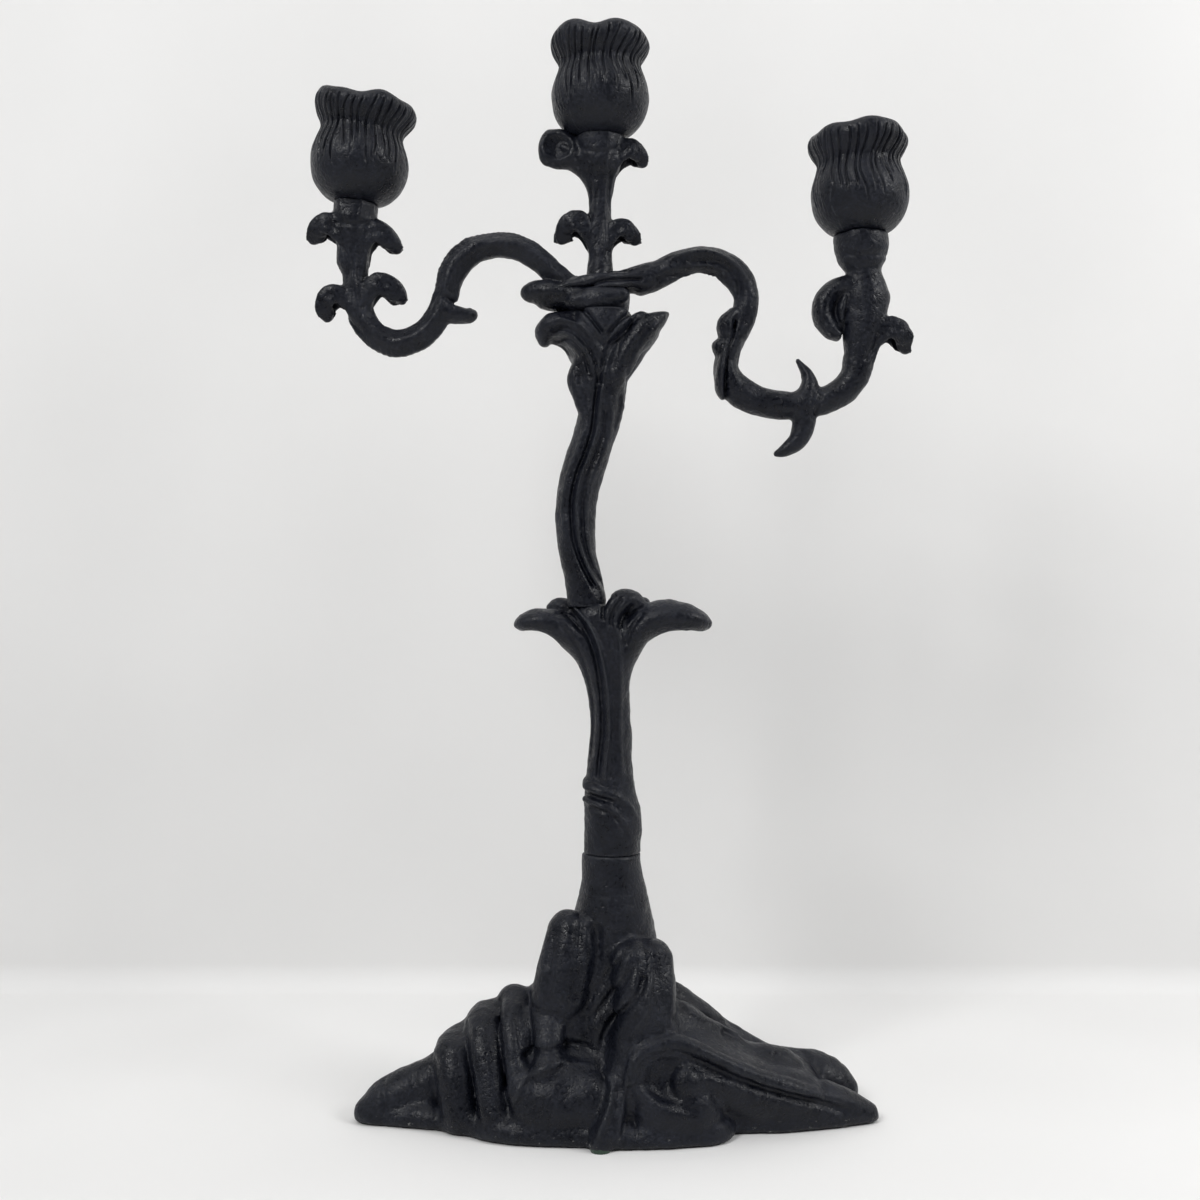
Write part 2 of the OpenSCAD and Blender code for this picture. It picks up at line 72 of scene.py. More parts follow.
# Millimetres are counted from here: the trunk's axis on the floor. y is negative in front.
FOOT = Vector((stud.x + HUB_X / 1000, stud.y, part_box("felt_pads")[0].z))
BASE_FOOT = (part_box("base")[0].z - FOOT.z) * 1000
BASE_TOP = (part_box("base")[1].z - FOOT.z) * 1000
HUB_SEAT = (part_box("upper_stem")[1].z - FOOT.z) * 1000
SPIGOT_FOOT = (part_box("upper_stem")[0].z - FOOT.z) * 1000
TRUNK_FOOT = (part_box("trunk")[0].z - FOOT.z) * 1000
ROD = (middle("tie_rod") - FOOT) * 1000
POST_SEAT = (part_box("centre_post")[0].z - FOOT.z) * 1000
SOCKETS = {m["name"]: m for m in frame["record"]["mounts"]}
# Radii in mm: the holes for the stud and the rod, and the two plugs with the holes they sit in.
STUD_HOLE_R = 2.7
ROD_HOLE_R = 3.2
TRUNK_PLUG_R = 8
TRUNK_PLUG_HOLE_R = 8.15
STEM_PLUG_R = 6.2
STEM_PLUG_HOLE_R = 6.35


def settings():
    """The candelabra's settings in this scene."""
    return bpy.context.scene.candelabra


# ---- curves ----

def smooth_line(stops, gap):
    """A smooth line through the stops, with a point about every gap millimetres."""
    p = np.array(stops, float)
    last = len(p) - 1
    rows = []
    for i in range(last):
        a, b, c, d = p[max(i - 1, 0)], p[i], p[i + 1], p[min(i + 2, last)]
        n = max(1, int(math.ceil(np.linalg.norm((c - b)[:3]) / gap)))
        t = (np.arange(n) / n)[:, None]
        rows.append(0.5 * (2 * b + (c - a) * t + (2 * a - 5 * b + 4 * c - d) * t * t
                           + (3 * b - a - 3 * c + d) * t ** 3))
    rows.append(p[-1:])
    return np.vstack(rows)


def blended(a, b, k):
    """Two bodies run together with a fillet about k wide."""
    if k <= 0:
        return np.minimum(a, b)
    h = np.maximum(k - np.abs(a - b), 0) / k
    return np.minimum(a, b) - h * h * (k * 0.25)


def soft_step(x):
    """Rises smoothly from 0 to 1 as x does."""
    x = np.clip(x, 0, 1)
    return x * x * (3 - 2 * x)


# ---- clay ----

FAR = 1000.0


class Clay:
    """A block of clay: every point of a fine grid knows how far it is from the surface."""

    def __init__(self, low, high, step):
        self.low = np.array(low, np.float32)
        self.step = step
        self.size = [int(math.ceil((h - l) / step)) + 1 for l, h in zip(low, high)]
        self.d = np.full(self.size, FAR, np.float32)

    def window(self, low, high):
        """The part of the grid between two corners, and its places along x, y and z."""
        cut, axes = [], []
        for k in range(3):
            a = max(0, int(math.floor((low[k] - self.low[k]) / self.step)))
            b = min(self.size[k], int(math.ceil((high[k] - self.low[k]) / self.step)) + 1)
            b = max(a, b)
            cut.append(slice(a, b))
            shape = [1, 1, 1]
            shape[k] = b - a
            line = self.low[k] + self.step * np.arange(a, b, dtype=np.float32)
            axes.append(line.reshape(shape))
        return tuple(cut), axes

    def limb(self, rows, blend=2.0, band=0.0, cut=False):
        """A body along a line. Each row: x, y, z, half across, half deep, droop of the edges."""
        rows = [tuple(r) + (0.0,) * (6 - len(r)) for r in rows]
        slim = min(min(r[3], r[4]) for r in rows)
        line = smooth_line(rows, max(1.2, 0.45 * slim))
        pad = blend + 2.5 * self.step + 1.5
        far = line[:, 3:5].max(1) + np.abs(line[:, 5]) + pad
        low = (line[:, :3] - far[:, None]).min(0)
        high = (line[:, :3] + far[:, None]).max(0)
        whole, _ = self.window(low, high)
        shape = [s.stop - s.start for s in whole]
        if min(shape) == 0:
            return
        body = np.full(shape, FAR, np.float32)
        for i in range(len(line) - 1):
            self._length(body, whole, line[i], line[i + 1], max(far[i], far[i + 1]), band)
        old = self.d[whole]
        self.d[whole] = -blended(-old, body, blend) if cut else blended(old, body, blend)

    def _length(self, body, whole, a, b, far, band):
        """Adds one straight length of a limb to the body."""
        way = b[:3] - a[:3]
        span = max(float(way @ way), 1e-6)
        low = np.minimum(a[:3], b[:3]) - far
        high = np.maximum(a[:3], b[:3]) + far
        part, (x, y, z) = self.window(low, high)
        inner = tuple(slice(max(p.start, w.start) - w.start, min(p.stop, w.stop) - w.start)
                      for p, w in zip(part, whole))
        clip = [slice(max(p.start, w.start) - p.start, min(p.stop, w.stop) - p.start)
                for p, w in zip(part, whole)]
        x, y, z = x[clip[0]], y[:, clip[1]], z[:, :, clip[2]]
        if x.size == 0 or y.size == 0 or z.size == 0:
            return
        dx, dy, dz = x - a[0], y - a[1], z - a[2]
        wx, wy, wz = (float(w) for w in way)
        t = np.clip((dx * wx + dy * wy + dz * wz) / span, 0, 1)
        rx, ry, rz = dx - t * wx, dy - t * wy, dz - t * wz
        side = np.array([wz, 0.0, -wx])
        size = np.linalg.norm(side)
        side = side / size if size > 0.05 * math.sqrt(span) else np.array([1.0, 0, 0])
        deep = np.cross(way / math.sqrt(span), side)
        u = rx * float(side[0]) + ry * float(side[1]) + rz * float(side[2])
        w = rx * float(deep[0]) + ry * float(deep[1]) + rz * float(deep[2])
        rest = np.maximum(rx * rx + ry * ry + rz * rz - u * u - w * w, 0)
        ha = float(a[3]) + t * float(b[3] - a[3])
        hb = float(a[4]) + t * float(b[4] - a[4])
        droop = float(a[5]) + t * float(b[5] - a[5])
        if abs(a[5]) + abs(b[5]) > 0.01:
            share = np.clip(w / hb, -1.1, 1.1)
            slope = 2 * droop * share / hb
            u = (u - droop * share * share) / np.sqrt(1 + slope * slope)
            ha = ha * (1 + 0.9 * np.exp(-((np.abs(share) - 0.86) / 0.2) ** 2))
        if band > 0:
            u, w = np.abs(u), np.abs(w)
            flat = np.maximum(u - ha, w - hb)
            bevel = (u + w - (ha + hb - band)) * 0.7071
            d = -blended(-flat, -bevel, 0.8)
            d = np.where(rest > 0.01, np.maximum(d, np.sqrt(rest) + np.maximum(u, w) * 0.5 - ha), d)
        else:
            small = np.minimum(ha, hb)
            k0 = np.sqrt((u / ha) ** 2 + (w / hb) ** 2 + rest / small ** 2)
            k1 = np.sqrt((u / ha ** 2) ** 2 + (w / hb ** 2) ** 2 + rest / small ** 4)
            d = k0 * (k0 - 1) / np.maximum(k1, 1e-4)
        np.minimum(body[inner], d.astype(np.float32), out=body[inner])

    def score(self, points, width, depth, front=True, edge=0.0, soft=3.0):
        """A groove, or with a negative depth a ridge, along x, z points as seen from the front."""
        line = smooth_line([(x, 0, z) for x, z in points], 1.5)[:, [0, 2]]
        reach = 3 * width
        low = (line[:, 0].min() - reach, -FAR, line[:, 1].min() - reach)
        high = (line[:, 0].max() + reach, FAR, line[:, 1].max() + reach)
        part, (x, y, z) = self.window(low, high)
        best = np.full((x.size, 1, z.size), FAR, np.float32)
        for a, b in zip(line[:-1], line[1:]):
            way = b - a
            t = np.clip(((x - a[0]) * way[0] + (z - a[1]) * way[1]) / max(way @ way, 1e-6), 0, 1)
            gap = np.hypot(x - a[0] - t * way[0], z - a[1] - t * way[1])
            np.minimum(best, gap, out=best)
        ends = np.minimum(np.hypot(x - line[0][0], z - line[0][1]),
                          np.hypot(x - line[-1][0], z - line[-1][1]))
        fade = 0.15 + 0.85 * soft_step(ends / (2.2 * width))
        near = (edge - y) / soft if front else (y - edge) / soft
        cut = depth * np.exp(-(best / width) ** 2) * fade * soft_step(near + 0.5)
        self.d[part] += cut.astype(np.float32)

    def both(self, points, width, depth):
        """The same groove in front and behind."""
        self.score(points, width, depth)
        self.score(points, width, depth, front=False)

    def puck(self, centre, radius, half, blend=1.5, rounding=1.0):
        """An upright disc, half its height above and half below the centre."""
        low = np.array(centre) - radius - blend - 3
        high = np.array(centre) + radius + blend + 3
        part, (x, y, z) = self.window(low, high)
        flat = np.hypot(x - centre[0], y - centre[1]) - radius
        up = np.abs(z - centre[2]) - half
        self.d[part] = blended(self.d[part], -blended(-flat, -up, rounding), blend)

    def bore(self, x0, y0, z0, z1, radius):
        """A round upright hole from z0 to z1."""
        part, (x, y, z) = self.window((x0 - radius - 3, y0 - radius - 3, z0 - 3),
                                      (x0 + radius + 3, y0 + radius + 3, z1 + 3))
        hole = np.maximum(np.hypot(x - x0, y - y0) - radius, np.maximum(z0 - z, z - z1))
        self.d[part] = np.maximum(self.d[part], -hole)

    def trim(self, point, out, rounding=0.8):
        """Cuts off what lies beyond a plane through point that faces out."""
        _, (x, y, z) = self.window(self.low, self.low + self.step * np.array(self.size))
        n = np.array(out, float) / np.linalg.norm(out)
        plane = (x - point[0]) * n[0] + (y - point[1]) * n[1] + (z - point[2]) * n[2]
        self.d = -blended(-self.d, -plane.astype(np.float32), rounding)

    def ball(self, centre, radii, blend, cut=False):
        """An egg with three radii, added or cut away."""
        low = np.array(centre) - radii - blend - 3
        high = np.array(centre) + radii + blend + 3
        part, (x, y, z) = self.window(low, high)
        u, v, w = x - centre[0], y - centre[1], z - centre[2]
        a, b, c = radii
        k0 = np.sqrt((u / a) ** 2 + (v / b) ** 2 + (w / c) ** 2)
        k1 = np.sqrt((u / a ** 2) ** 2 + (v / b ** 2) ** 2 + (w / c ** 2) ** 2)
        d = k0 * (k0 - 1) / np.maximum(k1, 1e-4)
        old = self.d[part]
        self.d[part] = -blended(-old, d, blend) if cut else blended(old, d, blend)

    def unevenness(self, size, depth, seed):
        """Slow waves in the surface, as a hand-finished pattern leaves them."""
        g = np.random.default_rng(seed).random([int(n * self.step / size) + 3 for n in self.size]) - 0.5
        g = g.astype(np.float32)
        for k in range(3):
            f = np.arange(self.size[k], dtype=np.float32) * (self.step / size)
            i = f.astype(int)
            t = soft_step(f - i)
            shape = [1, 1, 1]
            shape[k] = self.size[k]
            t = t.reshape(shape)
            g = np.take(g, i, axis=k) * (1 - t) + np.take(g, i + 1, axis=k) * t
        self.d += g * (2 * depth)

    def cast(self, name, node):
        """Turns the clay into a mesh piece that stands for a node of the frame."""
        grid = openvdb.FloatGrid(background=3.0)
        grid.copyFromArray(np.clip(self.d / self.step, -3, 3).astype(np.float32), tolerance=0.0)
        points, quads = grid.convertToQuads(0.0)
        points, quads = largest(np.array(points, float), np.array(quads, int))
        points = (points * self.step + self.low) / 1000 + np.array(FOOT)
        return new_piece(name, points, quads, (node,))


def largest(points, quads):
    """Keeps the largest connected body, so that no crumb of clay is left."""
    if len(quads) == 0:
        raise RuntimeError("the clay has no surface")
    label = np.arange(len(points))
    a, b = quads.reshape(-1), np.roll(quads, 1, axis=1).reshape(-1)
    while True:
        before = label.copy()
        low = np.minimum(label[a], label[b])
        np.minimum.at(label, a, low)
        np.minimum.at(label, b, low)
        label = label[label]
        if (label == before).all():
            break
    names, counts = np.unique(label[quads[:, 0]], return_counts=True)
    keep = label == names[counts.argmax()]
    number = np.cumsum(keep) - 1
    return points[keep], number[quads[keep[quads[:, 0]]]]


def new_piece(name, points, faces, nodes):
    """A painted mesh that rides on the root and stands for nodes of the frame."""
    mesh = bpy.data.meshes.new(name)
    faces = np.asarray(faces, np.int32)
    mesh.vertices.add(len(points))
    mesh.vertices.foreach_set("co", np.asarray(points, np.float32).ravel())
    mesh.loops.add(faces.size)
    mesh.loops.foreach_set("vertex_index", faces.ravel())
    mesh.polygons.add(len(faces))
    mesh.polygons.foreach_set("loop_start", np.arange(0, faces.size, faces.shape[1], dtype=np.int32))
    mesh.update(calc_edges=True)
    mesh.validate()
    mesh.shade_smooth()
    piece = bpy.data.objects.new(name, mesh)
    bpy.context.scene.collection.objects.link(piece)
    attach(piece, "root")
    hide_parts(*nodes)
    piece.data.materials.append(black_paint())
    return piece


def grain(fine):
    return fine * 1.0


# ---- leaves ----

def leaf(clay, path, thick, width, droop, blend=1.6, hollow=0.9):
    """A curled leaf: its spine runs through x, z points, its edges hang towards the inside of the curl."""
    spine = np.array(path, float)
    way = np.diff(spine, axis=0)
    heading = np.unwrap(np.arctan2(way[:, 1], way[:, 0]))
    side = -1 if heading[-1] > heading[0] else 1
    last = len(path) - 1
    rows = []
    for i, (x, z) in enumerate(path):
        u = i / last
        swell = math.sin(math.pi * (0.16 + 0.78 * u)) ** 0.7
        rows.append((x, 0, z, thick * (1.5 - 0.45 * u), width * swell,
                     side * droop * swell * min(1, 2.2 * u)))
    clay.limb(rows, blend)
    inward = side * np.stack([way[:, 1], -way[:, 0]], axis=1) / np.linalg.norm(way, axis=1)[:, None]
    fold = (spine[:-1] + spine[1:]) / 2 + 0.5 * droop * inward
    clay.both([tuple(point) for point in fold[1:-1]], 1.5, hollow)


# ---- castings ----

def sculpt_base():
    """The root-shaped foot: a core, its roots and folds, and the hollow below."""
    c = Clay((-112, -48, -3), (116, 74, BASE_TOP + 4), grain(settings().base_grain))
    core = [(0.5, 0, BASE_TOP + 3, 11.8, 11.8), (1, 0, 98, 12.6, 12.8), (1.5, 1, 86, 15.2, 15.5),
            (1, 3, 72, 18, 18.5), (-2, 5, 54, 24, 22), (-3, 6, 34, 33, 26), (-2, 6, 12, 40, 30)]
    c.limb(core, 4)
    # Roots at the back.
    c.limb([(6, 10, 56, 12, 12), (12, 26, 36, 13, 13), (22, 42, 18, 13, 13), (31, 56, 5, 8, 8)], 5)
    c.limb([(-10, 14, 58, 12, 12), (-16, 30, 36, 13, 13), (-22, 46, 18, 13, 13), (-27, 63, 5, 7, 7)], 5)
    c.limb([(-26, 10, 42, 12, 12), (-44, 20, 24, 13, 13), (-58, 26, 12, 11, 11), (-67, 31, 4, 6, 6)], 5)
    c.limb([(0, 22, 44, 11, 11), (4, 36, 26, 10, 10), (2, 50, 10, 9, 9)], 4)
    # Roots on the right, from the farthest to the nearest.
    c.limb([(58, 16, 15, 10, 10), (78, 17, 12.4, 11, 11), (90, 17, 10.4, 10.6, 10.6),
            (97, 16, 6.6, 7.4, 7.4)], 3)
    c.limb([(16, 5, 49, 11, 11), (30, 9, 39, 10.8, 10.8), (46, 14, 26.6, 10, 10), (58, 18, 19, 9.6, 9.6),
            (66, 19, 12, 9, 9)], 2.5)
    c.limb([(22, -6, 41, 12, 12), (38, -4, 31, 11.5, 11.5), (54, 0, 22, 10.5, 10.5),
            (70, 4, 17, 10.5, 10.5), (80, 4, 10, 9, 9)], 2.5)
    c.limb([(20, -17, 27, 14, 14), (38, -15, 23, 14, 14), (55, -12, 17, 12.5, 12.5),
            (75, -8, 11, 11, 11), (92, -5, 7, 8.5, 8.5), (105, -3, 3, 4.5, 4.5)], 3)
    # A low skirt that closes the mass all round near the floor.
    c.limb([(-98, -3, 3, 6, 6), (-88, -6, 3, 6, 6), (-60, -12, 3, 7, 7), (-41, -24, 3, 7, 7),
            (-10, -28, 3, 7, 7), (8, -30, 3, 7, 7), (30, -28, 3, 7, 7), (41, -24, 3, 7, 7),
            (47, -14, 3, 7, 7), (72, -12, 3, 6.5, 6.5), (91, -7, 3, 6, 6), (104, -3, 2.5, 4.6, 4.6)], 3)
    # Shoulders of the root mass under the trunk.
    c.limb([(-16.2, -6, 77.6, 9.2, 9), (-18, -9, 66, 10.5, 10), (-20, -10, 55, 11, 10.5),
            (-22.5, -9, 45, 10.5, 10),
            (-24, -8, 34, 10, 10)], 2)
    c.limb([(-9, -8, 79, 6, 6), (-10.4, -11, 66, 7, 7), (-12, -12, 54, 7, 7)], 2)
    c.limb([(9, -14.6, 67.8, 9.3, 9), (12, -18.4, 54, 10.5, 10.4), (12, -19, 42, 11.5, 11),
            (11, -20, 28, 13, 13)], 2.5)
    c.limb([(16.8, -13, 68.4, 8.4, 8.6), (17.4, -17, 54, 8.8, 9), (17.8, -19.6, 40, 9.5, 9.4)], 1.2)
    # Rounded folds on the left, from the highest down to the toe, on a body that closes them behind.
    c.limb([(-24, -8, 32, 15, 13), (-42, -6, 27, 15, 13), (-56, -4, 17, 13, 11)], 3)
    c.limb([(-27, 3, 46.4, 8, 8), (-40, 4, 42.4, 7.6, 7.6), (-51, 5, 36.6, 7.6, 7.6), (-61, 5, 27, 8, 8)], 3)
    c.limb([(-26, 0, 47, 9, 9), (-25, -10, 44, 8, 8), (-24, -18.6, 36, 7.4, 7), (-25, -23.6, 26, 6.4, 6)], 2)
    c.limb([(-39, 3, 46, 8, 8), (-39.5, -7, 43, 6.5, 6.5), (-39, -15, 36, 5.6, 5.6), (-37, -20, 28, 5.2, 5.2),
            (-36, -24.4, 19, 5.4, 5.2)], 2)
    c.limb([(-50, 4, 38, 9.5, 9.5), (-51, -5, 37, 8.6, 8.6), (-50, -12, 31, 7.6, 7.6), (-48, -17, 22, 7, 7),
            (-46, -20.6, 10, 7.6, 7.4)], 2)
    c.limb([(-61, 2, 27, 10, 10), (-63, -5, 26, 9.5, 9.5), (-61, -10, 18, 9.6, 9.6),
            (-59, -13, 6, 10, 10)], 2.5)
    c.limb([(-60, 3, 18, 13, 13), (-75, 1, 13, 10.8, 10.8), (-86, 0, 9.6, 9.6, 9.8),
            (-92.6, -1, 7, 8, 9.2), (-96.6, -2, 3.4, 5.6, 7.8)], 3)
    # The scallop, the narrow foot and the dished mass in front.
    c.limb([(-30, -17.6, 9, 11, 14), (-23, -19.6, 14, 15, 14.5), (-12, -19.6, 15, 15, 14.5),
            (-5, -19.6, 11, 13.5, 14)], 1.4)
    c.limb([(4.5, -25, 28, 4.4, 5), (2, -30, 18, 4.6, 5.6), (-1.6, -33, 8, 5.6, 6.6),
            (-3.4, -33.6, 3, 6, 6.6)], 1.6)
    c.limb([(13, -22, 20, 13, 12), (19, -22, 14, 15, 14.4), (31, -22, 12, 13.5, 13.5)], 2)
    c.ball((22, -25, 29), (12, 8, 9), 3)
    c.ball((25, -38, 27), (14, 10.5, 9.5), 2, cut=True)
    c.ball((30, -28.4, 23), (6.4, 4.6, 8.5), 2.2)
    # The brow that rolls over the dish and runs on as the crest of the long root.
    c.limb([(7.6, -32.5, 26, 2.4, 2.4), (10, -31, 34, 3, 3), (16.6, -28.6, 38, 3.6, 3.6),
            (25, -27, 39, 3.8, 3.8), (34, -26, 36.4, 3.8, 3.8), (43, -25, 31.8, 3.7, 3.7),
            (52, -23.4, 27.4, 3.6, 3.6), (63, -20.4, 22.6, 3.4, 3.4), (74, -17.2, 18.2, 3.1, 3.1),
            (86, -13.2, 13.4, 2.8, 2.8), (97, -8.6, 8.6, 2.5, 2.5), (104, -5.4, 5, 2.2, 2.2)], 1.0)
    c.limb([(11, -33, 22, 2, 2), (17, -33.6, 17.4, 2.2, 2.2), (25, -33.4, 14.6, 2.2, 2.2),
            (34, -31.6, 13, 2.2, 2.2), (41, -28.6, 11, 1.8, 1.8)], 1.6)
    score_base(c)
    c.unevenness(9, 0.5, 3)
    c.unevenness(3.2, 0.26, 4)
    c.trim((0, 0, BASE_FOOT), (0, 0, -1), 1.2)
    c.trim((0, 0, BASE_TOP), (0, 0, 1), 0.15)
    c.ball((-1, 5, -4), (44, 26, 42), 1, cut=True)
    c.bore(ROD.x, 0, 30, BASE_TOP + 2, ROD_HOLE_R)
    c.bore(0, 0, TRUNK_FOOT - 0.3, BASE_TOP + 2, TRUNK_PLUG_HOLE_R)
    return c.cast("base_casting", "base")


def score_base(c):
    """The creases and raised edges of the foot."""
    # Grooves that go with the brow over the dish and the crest of the long root.
    under = [(34, 31), (43, 27), (52, 23), (63, 18.5), (74, 14.6), (86, 10.4), (96, 6.4)]
    c.score(under, 1.8, 1.9, edge=-3)
    c.score([(x + 1, z + 10.6) for x, z in under[1:-1]], 1.6, 2.2, edge=-3)
    c.score([(13, 30), (20, 33), (29, 32.4), (36, 28)], 2.0, 0.7, edge=-8)
    c.score([(14, 27), (19, 20), (28, 16), (36, 15)], 2.0, 0.9, edge=-8)
    # Creases between the roots on the right.
    c.score([(24, 49), (34, 41), (46, 34.5), (58, 29), (70, 25)], 1.6, 1.1, edge=6)
    c.score([(25, 54), (31, 46), (42, 39), (53, 33.5), (63, 30)], 1.3, 1.1, edge=14)
    c.score([(76, 27), (81, 23), (85, 18), (87, 12)], 1.2, 1.2, edge=16)
    c.score([(56, 24), (66, 20), (77, 17), (86, 15)], 1.4, -0.8, edge=0)
    # Creases between the folds on the left.
    c.score([(-33.4, 54), (-32, 46), (-31, 38), (-30.5, 29)], 1.1, 1.5, edge=0)
    c.score([(-44.5, 51), (-44.5, 43), (-43.5, 34), (-42, 25), (-41, 18)], 1.1, 1.5, edge=0)
    c.score([(-57, 43), (-57, 34), (-55.5, 24), (-53.5, 14), (-51.5, 6)], 1.4, 1.4, edge=0)
    c.score([(-70, 30), (-71, 20), (-69.5, 10), (-67, 4)], 2, 1.4, edge=0)
    c.score([(-37.6, 46), (-36.4, 40), (-35.4, 34)], 0.6, 0.8, edge=0)
    c.score([(-17, 44), (-18, 37), (-19.5, 31)], 1.3, 1.2, edge=0)
    c.score([(-34, 50.5), (-27, 48), (-20, 47)], 1.4, 0.7, edge=0)
    c.score([(-92.5, 18), (-91, 10), (-91.5, 3)], 1.2, 1.1, edge=0)
    c.score([(-80, 21), (-79, 15), (-80, 9)], 1.6, 0.6, edge=0)
    # Folds in the upper left shoulder, and the valley between the shoulders.
    c.score([(-21, 82), (-23, 72), (-24.5, 60), (-25, 50)], 1.5, 0.9, edge=0)
    c.score([(-12, 85), (-13, 74), (-14, 62), (-15, 52)], 1.6, 0.9, edge=0)
    c.score([(-5, 84), (-5, 74), (-6.5, 64), (-9, 54), (-10, 44), (-8, 34)], 2.4, 1.9, edge=0)
    # Diagonal grooves on the left face of the right shoulder.
    c.score([(9, 69), (5, 61), (-1, 53), (-7, 46)], 1.3, 1.6, edge=0)
    c.score([(14, 66), (11, 58), (5, 50), (-1, 42), (-4, 35)], 1.5, 2.2, edge=0)
    c.score([(6, 74), (2, 67), (-3, 60), (-9, 52)], 1.1, 1.1, edge=0)
    c.score([(16.5, 72), (15.5, 62), (14, 52), (9, 44)], 1.1, -0.9, edge=0)
    c.score([(24, 72), (24.6, 60), (24.4, 48)], 1.1, -0.8, edge=-2)
    # The rim of the scallop and the ridges of the narrow foot.
    c.score([(-39, 12), (-35, 23), (-28, 29), (-17, 31), (-6, 29.5), (1, 25)], 1.3, -1.2, edge=-12)
    c.score([(-36, 30), (-28, 34.5), (-15, 35.5), (-5, 33.5)], 1.7, 2.2, edge=-10)
    c.score([(-27, 19), (-18, 21), (-9, 19)], 5, 1.4, edge=-20)
    c.score([(1, 26), (-0.5, 17), (-4, 9), (-6.5, 2)], 0.9, -1.0, edge=-20)
    c.score([(6, 27), (5, 18), (3.5, 8), (2.5, 2)], 0.9, -0.9, edge=-20)
    c.score([(3.2, 25), (1.6, 16), (-1.2, 6)], 1.3, 1.1, edge=-20)
    c.score([(10, 20), (9.4, 12), (10, 3)], 1.5, 1.2, edge=-20)
    # Folds at the back.
    for x0, x1, lean in ((-18, -30, 0), (-4, -8, 1), (9, 16, 0), (20, 36, 1)):
        c.score([(x0, 74), ((x0 + x1) / 2 - 2, 52), (x1, 30), (x1 * 1.2, 12)], 1.8, 2.0 - 0.4 * lean,
                front=False, edge=8)


